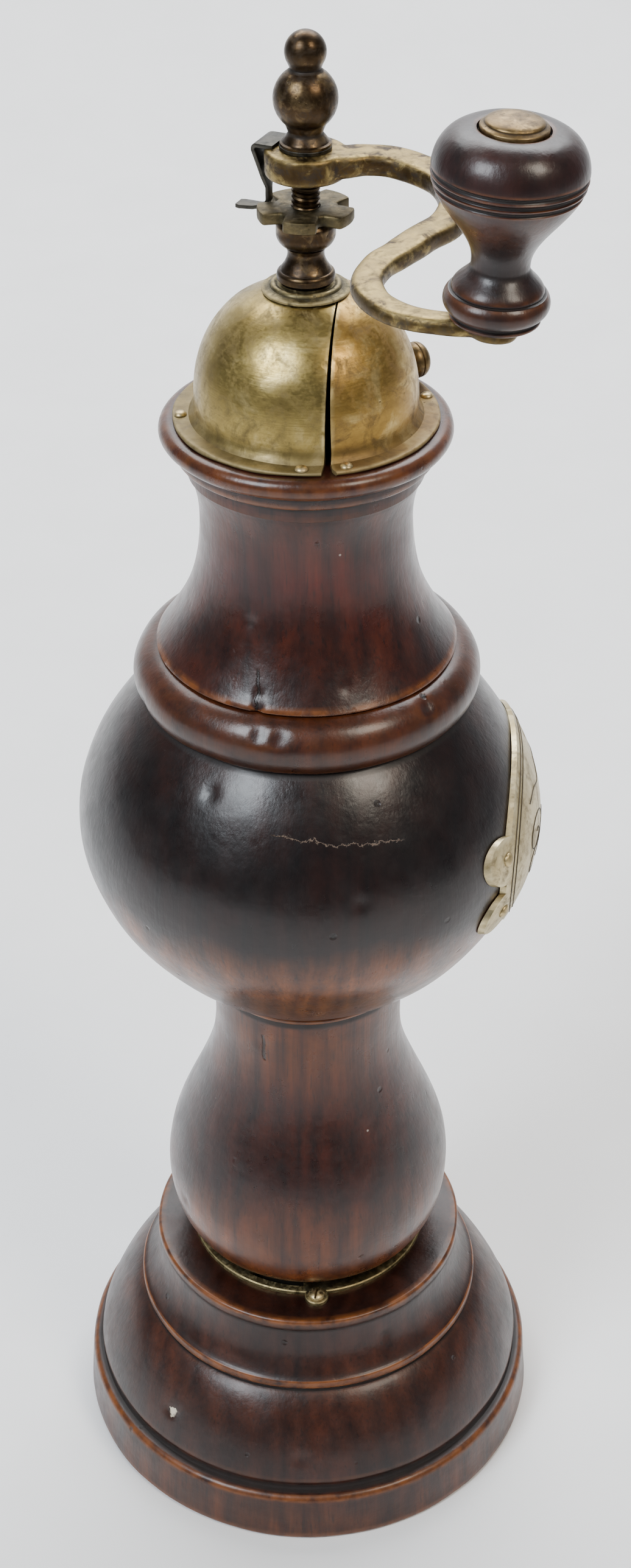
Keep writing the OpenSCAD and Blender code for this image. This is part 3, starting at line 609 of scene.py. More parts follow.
class Paint:
    """A material's node tree, with short calls that add nodes and give back their sockets."""

    def __init__(self, name: str) -> None:
        """Starts an empty material."""
        self.material = bpy.data.materials.new(name)
        self.material.use_nodes = True
        self.tree = self.material.node_tree
        self.tree.nodes.clear()
        self.place = self.node("TexCoord").outputs["Object"]

    def node(self, kind: str, links: Optional[dict] = None, **settings) -> bpy.types.Node:
        """Adds a shader node.

        Args:
            kind: The node's type, without its ShaderNode prefix.
            links: For each input's name or index, a socket to link or a value to set.
            settings: The node's own settings.

        Returns:
            The new node.
        """
        node = self.tree.nodes.new("ShaderNode" + kind)
        for label, value in settings.items():
            setattr(node, label, value)
        for label, value in (links or {}).items():
            if isinstance(value, bpy.types.NodeSocket):
                self.tree.links.new(value, node.inputs[label])
            else:
                node.inputs[label].default_value = value
        return node

    def math(self, operation: str, *values) -> bpy.types.NodeSocket:
        """The result of a Math node."""
        return self.node("Math", dict(enumerate(values)), operation=operation).outputs[0]

    def scaled(self, scale: Sequence[float], turn: Sequence[float] = (0, 0, 0)) -> bpy.types.NodeSocket:
        """Object coordinates in millimetres, stretched by a scale and turned by degrees."""
        metres = [s / MM for s in scale]
        return self.node("Mapping", {"Vector": self.place, "Scale": metres,
                                     "Rotation": [math.radians(a) for a in turn]}).outputs[0]

    def noise(self, scale: Sequence[float], detail: float = 4, rough: float = 0.55, warp: float = 0,
              turn: Sequence[float] = (0, 0, 0)) -> bpy.types.NodeSocket:
        """Noise between 0 and 1, with one feature per 1/scale millimetres along each axis."""
        return self.node("TexNoise", {"Vector": self.scaled(scale, turn), "Scale": 1.0, "Detail": detail,
                                      "Roughness": rough, "Distortion": warp}).outputs[0]

    def spots(self, size: float, radius: float) -> bpy.types.NodeSocket:
        """A mask of scattered round spots: 1 in their middle, 0 outside.

        Args:
            size: Spacing of the spots in millimetres.
            radius: Their radius as a share of the spacing.
        """
        cells = self.node("TexVoronoi", {"Vector": self.scaled([1 / size] * 3), "Scale": 1.0})
        return self.remap(cells.outputs["Distance"], radius, radius * 0.4, 0, 1)

    def remap(self, value, low_in: float, high_in: float, low_out: float = 0, high_out: float = 1):
        """A value moved from one range to another, held inside it."""
        return self.node("MapRange", {"Value": value, "From Min": low_in, "From Max": high_in,
                                      "To Min": low_out, "To Max": high_out}).outputs[0]

    def ramp(self, value, stops: Sequence[tuple[float, Colour]]) -> bpy.types.NodeSocket:
        """A colour that depends on a value through stops."""
        node = self.node("ValToRGB", {"Fac": value})
        elements = node.color_ramp.elements
        while len(elements) < len(stops):
            elements.new(0.5)
        for element, (at, colour) in zip(elements, stops):
            element.position = at
            element.color = (*colour, 1)
        return node.outputs[0]

    def mix(self, share, first, second, blend: str = "MIX") -> bpy.types.NodeSocket:
        """Two colours mixed by a share."""
        def colour(c):
            return c if isinstance(c, bpy.types.NodeSocket) else (*c, 1)
        node = self.node("Mix", {0: share, 6: colour(first), 7: colour(second)}, data_type="RGBA",
                         blend_type=blend)
        return node.outputs[2]

    def relief(self) -> bpy.types.NodeSocket:
        """The relief attribute: above 0.5 on edges, below it in hollows."""
        return self.node("Attribute", attribute_name="relief").outputs["Fac"]

    def height(self) -> bpy.types.NodeSocket:
        """Height above the base's underside in millimetres."""
        return self.math("DIVIDE", self.node("SeparateXYZ", {0: self.place}).outputs[2], MM)

    def azimuth(self) -> bpy.types.NodeSocket:
        """Azimuth round the spindle in degrees, 0 at +X."""
        axes = self.node("SeparateXYZ", {0: self.place})
        return self.math("DEGREES", self.math("ARCTAN2", axes.outputs[1], axes.outputs[0]))

    def bump(self, height, depth: float, under=None) -> bpy.types.NodeSocket:
        """A normal raised by a height from 0 to 1, which stands for a depth in millimetres."""
        links = {"Height": height, "Distance": depth * MM, "Strength": 1.0}
        if under is not None:
            links["Normal"] = under
        return self.node("Bump", links).outputs[0]

    def finish(self, **sockets) -> bpy.types.Material:
        """Ends the tree in a Principled shader.

        Args:
            sockets: Its inputs, with underscores for spaces, as sockets or constants.

        Returns:
            The material.
        """
        links = {label.replace("_", " "): value for label, value in sockets.items()}
        shader = self.node("BsdfPrincipled", links)
        output = self.node("OutputMaterial", {"Surface": shader.outputs[0]})
        output.is_active_output = True
        return self.material


@dataclass(frozen=True)
class Crack:
    """A crack in a turned surface.

    It starts at an azimuth (degrees) and height (mm), and ends at another pair. Width is in millimetres.
    """

    start: Point
    end: Point
    width: float
    waver: float = 1.0
    pale: bool = False


@dataclass(frozen=True)
class Zone:
    """A tint of the wood up to a height in millimetres: its shade in dark and in light grain."""

    top: float
    dark: Colour
    light: Colour


@dataclass(frozen=True)
class WoodFinish:
    """Old polished wood, turned with its grain along Z, in zones of tint from bottom to top."""

    name: str
    zones: tuple[Zone, ...]
    edge: Colour = (0.20, 0.062, 0.012)
    hollow: Colour = (0.006, 0.003, 0.002)
    wear: float = 0.75
    roughness: float = 0.33
    coat: float = 0.18
    fleck: float = 0.5
    cracks: tuple[Crack, ...] = ()
    chips: tuple[Dent, ...] = ()

    def zoned(self, p: Paint, shade: str) -> bpy.types.NodeSocket:
        """The zones' dark or light tint, with ragged borders."""
        ragged = p.math("MULTIPLY_ADD", p.noise([0.045, 0.045, 0.03], 3), 26.0, p.height())
        bottom, top = self.zones[0].top - 30, self.zones[-1].top + 10
        share = p.remap(ragged, bottom + 13, top + 13)
        stops = [((zone.top - bottom) / (top - bottom), getattr(zone, shade)) for zone in self.zones]
        return p.ramp(share, stops)

    def grain(self, p: Paint) -> bpy.types.NodeSocket:
        """Growth rings and fibres of a log whose pith lies beside the spindle."""
        bent = p.noise([0.03, 0.03, 0.006], 3, 0.5, 0.4)
        axes = p.node("SeparateXYZ", {0: p.scaled([1, 1, 1])})
        across = p.math("MULTIPLY_ADD", bent, 30.0, axes.outputs[0])
        rings = p.math("FRACT", p.math("MULTIPLY", across, 0.16))
        soft = p.math("PINGPONG", rings, 0.5)
        fibre = p.noise([1.1, 1.1, 0.035], 5, 0.65)
        broad = p.noise([0.14, 0.14, 0.016], 3, 0.5, 0.6)
        mixed = p.math("MULTIPLY_ADD", soft, 0.5, p.math("MULTIPLY", fibre, 0.55))
        return p.math("MULTIPLY_ADD", broad, 0.45, p.math("SUBTRACT", mixed, 0.12))

    def crack_mask(self, p: Paint, crack: Crack) -> bpy.types.NodeSocket:
        """1 in the crack and 0 away from it."""
        waver = p.math("MULTIPLY", p.math("SUBTRACT", p.noise([0.35] * 3, 5, 0.7), 0.5), 9.0 * crack.waver)
        azimuth, height = p.azimuth(), p.height()
        (a0, z0), (a1, z1) = crack.start, crack.end
        if abs(z1 - z0) > abs(a1 - a0):
            along = p.remap(height, z0, z1)
            middle = p.math("MULTIPLY_ADD", along, a1 - a0, a0)
            off = p.math("ADD", p.math("SUBTRACT", azimuth, middle), waver)
        else:
            along = p.remap(azimuth, a0, a1)
            middle = p.math("MULTIPLY_ADD", along, z1 - z0, z0)
            off = p.math("ADD", p.math("SUBTRACT", height, middle), waver)
        near = p.remap(p.math("ABSOLUTE", off), crack.width, crack.width * 0.35)
        inside = p.math("MULTIPLY", p.remap(along, 0.0, 0.08), p.remap(along, 1.0, 0.92))
        return p.math("MULTIPLY", near, inside)

    def chip_mask(self, p: Paint, chip: Dent) -> bpy.types.NodeSocket:
        """1 on the bare wood of a chip and 0 away from it."""
        turn = math.radians(chip.azimuth)
        axes = p.node("SeparateXYZ", {0: p.scaled([1, 1, 1])})
        side = p.math("ADD", p.math("MULTIPLY", axes.outputs[0], -math.sin(turn)),
                      p.math("MULTIPLY", axes.outputs[1], math.cos(turn)))
        front = p.math("ADD", p.math("MULTIPLY", axes.outputs[0], math.cos(turn)),
                       p.math("MULTIPLY", axes.outputs[1], math.sin(turn)))
        rise = p.math("SUBTRACT", p.height(), chip.height)
        away = p.math("SQRT", p.math("ADD", p.math("POWER", side, 2.0), p.math("POWER", rise, 2.0)))
        ragged = p.math("MULTIPLY_ADD", p.noise([0.8] * 3, 3), chip.size * 0.9, away)
        bare = p.remap(ragged, chip.size * 1.05, chip.size * 0.9)
        return p.math("MULTIPLY", bare, p.math("GREATER_THAN", front, 0.0))

    def make(self) -> bpy.types.Material:
        """Builds the material."""
        p = Paint(self.name)
        grain = self.grain(p)
        contrast = p.remap(grain, 0.25, 0.85)
        colour = p.mix(contrast, self.zoned(p, "dark"), self.zoned(p, "light"))
        pores = p.remap(p.noise([1.6, 1.6, 0.12], 2, 0.4), 0.60, 0.72)
        colour = p.mix(p.math("MULTIPLY", pores, self.fleck), colour, self.hollow)
        clouds = p.remap(p.noise([0.06, 0.06, 0.05], 4, 0.6, 0.8), 0.35, 0.7, 0.55, 1.25)
        shading = p.node("CombineColor", {0: clouds, 1: clouds, 2: clouds}).outputs[0]
        colour = p.mix(1.0, colour, shading, "MULTIPLY")
        relief = p.relief()
        rubbed = p.math("MULTIPLY", p.remap(relief, 0.53, 0.68),
                        p.remap(p.noise([0.25, 0.25, 0.3], 4), 0.3, 0.6))
        colour = p.mix(p.math("MULTIPLY", rubbed, self.wear), colour, self.edge)
        # Hollows and grooves are darkened towards the near-black hollow colour, and further down made
        # rougher.
        hollow_share = p.remap(relief, 0.485, 0.40)
        colour = p.mix(p.math("MULTIPLY", hollow_share, 0.9), colour, self.hollow)
        nicks = p.math("MULTIPLY", p.spots(9.0, 0.10), p.remap(p.noise([0.09] * 3, 2), 0.52, 0.6))
        colour = p.mix(nicks, colour, self.hollow)
        cracks = None
        for crack in self.cracks:
            mask = self.crack_mask(p, crack)
            shade = CRACK_PALE if crack.pale else self.hollow
            colour = p.mix(p.math("MULTIPLY", mask, 0.85), colour, shade)
            cracks = mask if cracks is None else p.math("MAXIMUM", cracks, mask)
        for chip in self.chips:
            colour = p.mix(self.chip_mask(p, chip), colour, BARE_WOOD)
        dust = p.math("MULTIPLY", p.spots(17.0, 0.022), 0.7)
        colour = p.mix(dust, colour, DUST)
        rough = p.remap(p.noise([0.16] * 3, 5, 0.65), 0.3, 0.7, self.roughness - 0.06, self.roughness + 0.10)
        rough = p.math("MULTIPLY_ADD", hollow_share, 0.3, rough)
        normal = p.bump(p.noise([1.3, 1.3, 0.09], 4, 0.6), 0.05)
        normal = p.bump(p.noise([0.32] * 3, 3, 0.5), 0.10, normal)
        pits = nicks if cracks is None else p.math("MAXIMUM", nicks, cracks)
        normal = p.bump(p.math("SUBTRACT", 1.0, pits), 0.35, normal)
        return p.finish(Base_Color=colour, Roughness=rough, Normal=normal, Coat_Weight=self.coat,
                        Coat_Roughness=0.2, Specular_IOR_Level=0.35)


@dataclass(frozen=True)
class MetalFinish:
    """Old brass, bronze or steel: polished where hands reach, stained and dark elsewhere, and where asked
    lighter on up-facing faces as painted top light mixed with wear.
    """

    name: str
    bright: Colour
    dull: Colour
    stain: Colour
    rubbed: Colour
    metallic: float = 1.0
    roughness: float = 0.34
    stained: float = 0.5
    streaks: float = 0.35
    spotted: float = 0.6
    patch: float = 0.11
    # Share of painted top light: up-facing faces are lightened towards the rubbed colour, partly as painted
    # light and partly as wear.
    top_light_and_wear: float = 0.0
    edged: float = 1.0
    foot_dark: Optional[Point] = None

    def make(self) -> bpy.types.Material:
        """Builds the material."""
        p = Paint(self.name)
        clouds = p.noise([self.patch] * 3, 6, 0.62, 0.5)
        colour = p.ramp(p.remap(clouds, 0.32, 0.68),
                        [(0.0, self.dull), (0.55, self.bright), (1.0, self.rubbed)])
        fine = p.noise([0.9, 0.9, 1.6], 5, 0.7)
        blots = p.noise([self.patch * 1.7] * 3, 6, 0.7, 1.0)
        stain = p.remap(p.math("ADD", blots, p.math("MULTIPLY", fine, 0.25)), 0.60, 0.78)
        colour = p.mix(p.math("MULTIPLY", stain, self.stained), colour, self.stain)
        lines = p.noise([0.10, 0.10, 2.6], 4, 0.6)
        colour = p.mix(p.math("MULTIPLY", p.remap(lines, 0.45, 0.7), self.streaks * 0.5), colour, self.dull)
        spots = p.math("MULTIPLY", p.spots(5.5, 0.16), p.remap(p.noise([0.12] * 3, 3), 0.48, 0.6))
        specks = p.math("MAXIMUM", spots, p.math("MULTIPLY", p.spots(1.7, 0.15), p.remap(clouds, 0.55, 0.62)))
        colour = p.mix(p.math("MULTIPLY", specks, self.spotted), colour, self.stain)
        relief = p.relief()
        edge = p.math("MULTIPLY", p.remap(relief, 0.54, 0.72), p.remap(p.noise([0.5] * 3, 3), 0.28, 0.5))
        colour = p.mix(p.math("MULTIPLY", edge, self.edged), colour, self.rubbed)
        grime = p.remap(relief, 0.47, 0.36)
        if self.foot_dark:
            foot = p.math("MULTIPLY_ADD", p.noise([0.3] * 3, 4), 1.6, p.height())
            low_end = p.remap(foot, self.foot_dark[1], self.foot_dark[0])
            grime = p.math("MAXIMUM", grime, p.math("MULTIPLY", low_end, 0.8))
        # Painted top light: faces that look up are lightened towards the rubbed colour, partly standing in
        # for light from above and partly for wear.
        if self.top_light_and_wear:
            up = p.node("SeparateXYZ", {0: p.node("NewGeometry").outputs["True Normal"]}).outputs[2]
            lit_and_worn_top = p.math("MULTIPLY", p.remap(up, 0.55, 0.9), p.remap(clouds, 0.38, 0.5))
            colour = p.mix(p.math("MULTIPLY", lit_and_worn_top, self.top_light_and_wear), colour, self.rubbed)
        colour = p.mix(grime, colour, self.stain)
        cover = p.math("MAXIMUM", p.math("MULTIPLY", stain, self.stained), grime)
        rough = p.math("ADD", p.remap(fine, 0.3, 0.7, self.roughness - 0.05, self.roughness + 0.08),
                       p.math("MULTIPLY", cover, 0.28))
        metal = p.math("MULTIPLY", self.metallic, p.remap(cover, 0.0, 1.0, 1.0, 0.35))
        normal = p.bump(lines, 0.012 + 0.02 * self.streaks)
        normal = p.bump(p.noise([0.22] * 3, 3), 0.12, normal)
        normal = p.bump(p.math("SUBTRACT", 1.0, specks), 0.05, normal)
        return p.finish(Base_Color=colour, Roughness=rough, Metallic=metal, Normal=normal)


class Wood(Enum):
    """The mill's turned pieces differ in tint, as its polish has worn; the belly's lowest zone also carries
    painted shade.
    """

    BASE = WoodFinish(
        "wood_base",
        (Zone(6, (0.017, 0.004, 0.0018), (0.1, 0.027, 0.0079)),
         Zone(19, (0.0093, 0.0025, 0.0016), (0.044, 0.011, 0.0051)),
         Zone(36, (0.014, 0.0034, 0.0018), (0.067, 0.017, 0.006)),
         Zone(60, (0.0081, 0.0023, 0.0016), (0.036, 0.0094, 0.0051))),
        wear=0.8, roughness=0.36, coat=0.15, chips=(Dent(-131.3, 25.1, 2.1, 0.8),))
    BULB = WoodFinish(
        "wood_bulb",
        (Zone(62, (0.046, 0.01, 0.0024), (0.22, 0.061, 0.011)),
         Zone(76, (0.031, 0.0063, 0.0018), (0.16, 0.04, 0.0073)),
         Zone(92, (0.0068, 0.0014, 0.0008), (0.039, 0.0061, 0.0021)),
         Zone(116, (0.011, 0.0018, 0.0008), (0.067, 0.011, 0.0027)),
         Zone(132, (0.037, 0.0079, 0.002), (0.18, 0.047, 0.0079)),
         Zone(143, (0.028, 0.0059, 0.002), (0.13, 0.031, 0.0066))),
        roughness=0.30, coat=0.225, fleck=0.45,
        cracks=(Crack((-118, 134), (-117, 126), 1.4, 0.4),))
    BELLY = WoodFinish(
        "wood_belly",
        # The lowest zone, on the belly's underside just above the waist, is dark partly as painted shade and
        # partly as the wood's own dark tint.
        (Zone(148, (0.022, 0.0049, 0.002), (0.1, 0.027, 0.006)),
         Zone(160, (0.039, 0.011, 0.003), (0.19, 0.067, 0.012)),
         Zone(172, (0.042, 0.0089, 0.0024), (0.22, 0.063, 0.011)),
         Zone(184, (0.0034, 0.00084, 0.00048), (0.019, 0.0037, 0.0014)),
         Zone(205, (0.0022, 0.00059, 0.00048), (0.01, 0.0024, 0.0014)),
         Zone(216, (0.0037, 0.00096, 0.0006), (0.02, 0.0043, 0.0018)),
         Zone(230, (0.011, 0.0025, 0.0012), (0.073, 0.016, 0.0042))),
        wear=0.7, roughness=0.31, coat=0.25,
        cracks=(Crack((-100, 208.5), (-63, 205.5), 0.22, 0.55, True),))
    NECK = WoodFinish(
        "wood_neck",
        (Zone(234, (0.0087, 0.002, 0.0014), (0.044, 0.0094, 0.0042)),
         Zone(243, (0.014, 0.0025, 0.0012), (0.078, 0.013, 0.0036)),
         Zone(256, (0.014, 0.0016, 0.0008), (0.078, 0.0079, 0.0024)),
         Zone(268, (0.015, 0.0027, 0.0012), (0.088, 0.017, 0.0042)),
         Zone(283, (0.0081, 0.0018, 0.0012), (0.044, 0.0079, 0.0036))),
        roughness=0.30, coat=0.25, wear=0.6,
        cracks=(Crack((-108.5, 229.5), (-111, 238), 0.8, 0.5),))
    KNOB = WoodFinish(
        "wood_knob",
        (Zone(337, (0.0056, 0.0018, 0.0016), (0.026, 0.0072, 0.0048)),
         Zone(348, (0.0068, 0.002, 0.0014), (0.036, 0.0094, 0.0042)),
         Zone(354, (0.019, 0.0045, 0.0016), (0.098, 0.026, 0.0055)),
         Zone(359, (0.0068, 0.0018, 0.0018), (0.031, 0.0072, 0.0055)),
         Zone(370, (0.005, 0.0016, 0.0016), (0.022, 0.0057, 0.0045))),
        wear=0.35, roughness=0.33, coat=0.2, fleck=0.25)


class Metal(Enum):
    """The mill's metals."""

    DOME = MetalFinish("brass_dome", (0.36, 0.265, 0.085), (0.23, 0.165, 0.055), (0.050, 0.034, 0.014),
                       (0.58, 0.45, 0.20), roughness=0.33, stained=0.5, streaks=0.6, foot_dark=(283.0, 287.5))
    DOME_RIGHT = MetalFinish("brass_dome_right", (0.38, 0.235, 0.062), (0.25, 0.148, 0.042),
                             (0.045, 0.026, 0.011), (0.60, 0.44, 0.18), roughness=0.34, stained=0.6,
                             streaks=0.5, foot_dark=(283.0, 287.5))
    RING = MetalFinish("brass_ring", (0.13, 0.105, 0.050), (0.070, 0.058, 0.030), (0.022, 0.018, 0.011),
                       (0.34, 0.27, 0.13), roughness=0.45, stained=0.8, patch=0.3)
    PIN = MetalFinish("brass_pin", (0.20, 0.145, 0.065), (0.10, 0.075, 0.035), (0.02, 0.015, 0.009),
                      (0.50, 0.39, 0.20), roughness=0.38, stained=0.5, patch=0.4)
    PLATE = MetalFinish("brass_plate", (0.43, 0.35, 0.19), (0.28, 0.215, 0.095), (0.12, 0.082, 0.026),
                        (0.55, 0.47, 0.29), roughness=0.36, stained=0.7, patch=0.12)
    # The crank's up-facing faces carry painted top light, mixed with wear.
    CRANK = MetalFinish("brass_crank", (0.075, 0.047, 0.020), (0.040, 0.024, 0.011), (0.012, 0.008, 0.006),
                        (0.34, 0.25, 0.095), roughness=0.42, stained=0.8, patch=0.24, top_light_and_wear=0.75,
                        edged=0.22)
    BRONZE = MetalFinish("bronze_dark", (0.052, 0.032, 0.017), (0.030, 0.019, 0.011), (0.010, 0.007, 0.005),
                         (0.17, 0.115, 0.055), roughness=0.32, stained=0.5, patch=0.24, streaks=0.2,
                         edged=0.2)
    NUT = MetalFinish("bronze_nut", (0.055, 0.045, 0.024), (0.032, 0.026, 0.015), (0.012, 0.009, 0.006),
                      (0.17, 0.13, 0.065), roughness=0.5, stained=0.5, patch=0.3, streaks=0.1, edged=0.45)
    STEEL = MetalFinish("steel_black", (0.018, 0.018, 0.016), (0.011, 0.011, 0.010), (0.008, 0.006, 0.005),
                        (0.06, 0.055, 0.045), roughness=0.42, stained=0.4, patch=0.3, streaks=0.2)
    IRON = MetalFinish("iron_burr", (0.16, 0.155, 0.15), (0.09, 0.085, 0.08), (0.06, 0.035, 0.02),
                       (0.34, 0.33, 0.32), roughness=0.5, stained=0.5, patch=0.25, streaks=0.2)
    CAP = MetalFinish("brass_cap", (0.15, 0.098, 0.042), (0.090, 0.058, 0.026), (0.025, 0.015, 0.009),
                      (0.32, 0.22, 0.10), roughness=0.38, stained=0.5, patch=0.26, streaks=0.2, edged=0.35)
    INLAY = MetalFinish("engraved_line", (0.030, 0.022, 0.012), (0.018, 0.014, 0.009), (0.010, 0.008, 0.006),
                        (0.06, 0.045, 0.025), metallic=0.4, roughness=0.6, patch=0.5)


class Workshop:
    """Keeps the finished materials and registers finished pieces with the frame."""

    def __init__(self) -> None:
        """Starts with no materials made."""
        self.made: dict[str, bpy.types.Material] = {}
        self.fasteners = fastener_tree()
        self.wires = wire_tree()
        self.threads = thread_tree()

    def material(self, finish: Enum) -> bpy.types.Material:
        """The material of a finish, made once."""
        if finish.value.name not in self.made:
            self.made[finish.value.name] = finish.value.make()
        return self.made[finish.value.name]

    def hand_over(self, piece: bpy.types.Object, body: str, finish: Enum,
                  replaces: Sequence[str] = (), sharp: float = 38.0, relief: float = 0.7) -> None:
        """Dresses a piece and ties it to its body.

        Args:
            piece: The finished object.
            body: Name of the body that it rides on.
            finish: Its finish.
            replaces: CAD nodes that it stands for.
            sharp: Edges sharper than this, in degrees, stay crisp.
            relief: Size of the detail that shows wear, in millimetres.
        """
        mark_relief(piece, relief)
        piece.data.materials.clear()
        piece.data.materials.append(self.material(finish))
        piece.data.polygons.foreach_set("use_smooth", [True] * len(piece.data.polygons))
        piece.data.set_sharp_from_angle(angle=math.radians(sharp))
        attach(piece, body)
        if replaces:
            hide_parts(*replaces)
        LOG.info("%s rides on %s: %d faces, replaces %s", piece.name, body, len(piece.data.polygons),
                 ", ".join(replaces) or "nothing")

    def dress(self, node: str, finish: Enum) -> None:
        """Gives a CAD node that keeps its own shape a finish."""
        piece = frame["nodes"][node]
        piece.data.materials.clear()
        piece.data.materials.append(self.material(finish))
        LOG.info("%s keeps its CAD shape, finish %s", node, finish.value.name)

    def fasten(self, name: str, pattern: bpy.types.Object, places: Sequence[Vector], leans: Sequence[Vector],
               seed: int, finish: Enum) -> bpy.types.Object:
        """Sets copies of one fastener on points.

        Args:
            name: Name of the finished piece.
            pattern: The fastener with its head's foot at the origin, facing +Z. It is removed.
            places: Points in metres.
            leans: Direction that each head faces.
            seed: Seed of the random turns.
            finish: Finish of the fasteners.

        Returns:
            One plain mesh object that holds all of them.
        """
        piece = self.fasteners.run(points_object(name, places, leans),
                                   {"Pattern": pattern, "Seed": seed, "Material": self.material(finish)})
        bpy.data.objects.remove(pattern)
        return piece


def domed_head(name: str, head: float, rise: float, shank: float, length: float, slot: float = 0.0):
    """A pin or screw with a domed head.

    Args:
        name: Name of the object.
        head: Radius of the head.
        rise: Height of the head.
        shank: Radius of the shank.
        length: Length of the shank.
        slot: Width of the driving slot, or 0 for none.

    Returns:
        The object, head's foot at the origin, facing +Z.
    """
    outline = [(0.0, -length), (shank, -length), (shank, 0.0), *bulge((head, 0.0), (0.0, rise), 2, 8)]
    piece = turned(name, outline, 28, 5.0)
    if slot:
        half = slot / 2
        corners = [(-head * 1.2, -half), (head * 1.2, -half), (head * 1.2, half), (-head * 1.2, half)]
        carve(piece, prism("slot", corners, (rise * 0.45, rise * 2)), "DIFFERENCE")
    return piece


# ---------------------------------------------------------------------------------------------------
# Sub-assemblies


def azimuth_point(azimuth: float, radius: float, z: float) -> Vector:
    """A point in metres from an azimuth in degrees and millimetres."""
    turn = math.radians(azimuth)
    return Vector((radius * math.cos(turn), radius * math.sin(turn), z)) * MM


@dataclass
class BayonetBase:
    """The turned base with its bowl, the brass locking ring on it, and the ring's screws."""

    radius: float = 58.0
    plinth: float = 14.4
    plinth_round: float = 1.8
    step_radius: float = 42.9
    disc_radius: float = 38.3
    bowl: float = 23.0
    bowl_floor: float = 8.0
    bowl_round: float = 12.0
    well_radius: float = 27.4
    well_depth: float = 2.6
    ring_in: float = 25.6
    ring_out: float = 29.3
    ear: float = 2.9
    ear_azimuth: float = -86.0
    notch_offset: float = -20.5
    notch_span: float = 28.0
    count: int = 3

    def wood(self) -> bpy.types.Object:
        """The turned base, closed and hollow."""
        top = high("base_bowl")
        shoulder = self.plinth + 3
        step = shoulder + 20.4
        quirk = self.radius - 3.8
        outline = [(0.0, 0.0), (self.radius - 1.2, 0.0), *arc((self.radius - 1.2, 1.2), 1.2, -90, 0, 5)]
        outline += arc((self.radius - 0.9 - self.plinth_round, self.plinth - self.plinth_round),
                       self.plinth_round, 0, 85, 8)
        outline += [(quirk + 0.3, self.plinth + 0.2), (quirk, self.plinth + 0.7), (quirk, shoulder - 0.8)]
        outline += bulge((quirk + 0.3, shoulder), (self.step_radius - 0.6, step - 0.3), 1.35)
        outline += [(self.step_radius - 0.9, step + 0.3)]
        outline += arc((self.step_radius - 0.7, step + 1.1), 0.7, -70, 0, 4)
        outline += arc((self.step_radius - 0.7, step + 2.4), 0.7, 0, 70, 4)
        outline += cove((self.step_radius - 0.9, step + 3.4), (self.disc_radius - 0.6, top - 3.7), 2.4)
        outline += [(self.disc_radius, top - 2.3), *arc((self.disc_radius - 0.9, top - 0.9), 0.9, 0, 90, 6)]
        well = top - self.well_depth
        outline += [(self.well_radius, top), (self.well_radius, well), (self.bowl, well)]
        centre = (self.bowl - self.bowl_round, self.bowl_floor + self.bowl_round)
        outline += arc(centre, self.bowl_round, 0, -90)
        outline += [(0.0, self.bowl_floor)]
        piece = turned("turned_base", outline, 256, 1.3)
        dents = (Dent(-131.3, 25.1, 1.6, 0.7), Dent(-92, 23.5, 1.8, 0.35), Dent(-60, 48, 1.5, 0.3))
        aged(piece, 0.22, 14, dents)
        return piece

    def turns(self, first: float) -> list[float]:
        """Azimuths of the three ears or notches."""
        return [first + 360 / self.count * i for i in range(self.count)]

    def ring(self) -> bpy.types.Object:
        """The locking ring: an annulus with ears and notches."""
        z0, z1 = low("bayonet_ring"), high("bayonet_ring")
        band = [(self.ring_in, z0), (self.ring_out, z0), (self.ring_out, z1 - 0.25),
                (self.ring_out - 0.25, z1), (self.ring_in + 0.2, z1), (self.ring_in, z1 - 0.2)]
        ring = turned("locking_ring", band, 180, 1.0)
        disc = [(0.0, z0), (self.ear, z0), (self.ear, z1 - 0.25), (self.ear - 0.25, z1), (0.0, z1)]
        for turn in self.turns(self.ear_azimuth):
            place = Matrix.Translation(azimuth_point(turn, self.ring_out + 0.9, 0))
            ear = turned("ear", disc, 40, 2.0, place)
            carve(ring, ear, "UNION")
        for turn in self.turns(self.ear_azimuth + self.notch_offset):
            span = np.radians(np.linspace(turn - self.notch_span / 2, turn + self.notch_span / 2, 12))
            rim = [(self.well_radius * math.cos(a), self.well_radius * math.sin(a)) for a in span]
            inner = [(0.8 * x, 0.8 * y) for x, y in rim[::-1]]
            carve(ring, prism("notch", rim[::-1] + inner[::-1], (z0 - 1, z1 + 1)), "DIFFERENCE")
        aged(ring, 0.12, 6)
        return ring

    def build(self, shop: Workshop) -> None:
        """Builds and hands over the base."""
        shop.hand_over(self.wood(), "base", Wood.BASE, ["base_bowl"], relief=1.1)
        shop.hand_over(self.ring(), "base", Metal.RING, ["bayonet_ring"])
        top = high("bayonet_ring")
        places = [azimuth_point(t, self.ring_out + 0.9, top) for t in self.turns(self.ear_azimuth)]
        screws = shop.fasten("locking_ring_screws", domed_head("screw", 2.1, 1.1, 0.9, 8.2, 0.55), places,
                             [Vector((0, 0, 1))] * self.count, 3, Metal.PIN)
        shop.hand_over(screws, "base", Metal.PIN, ["ring_screws"])


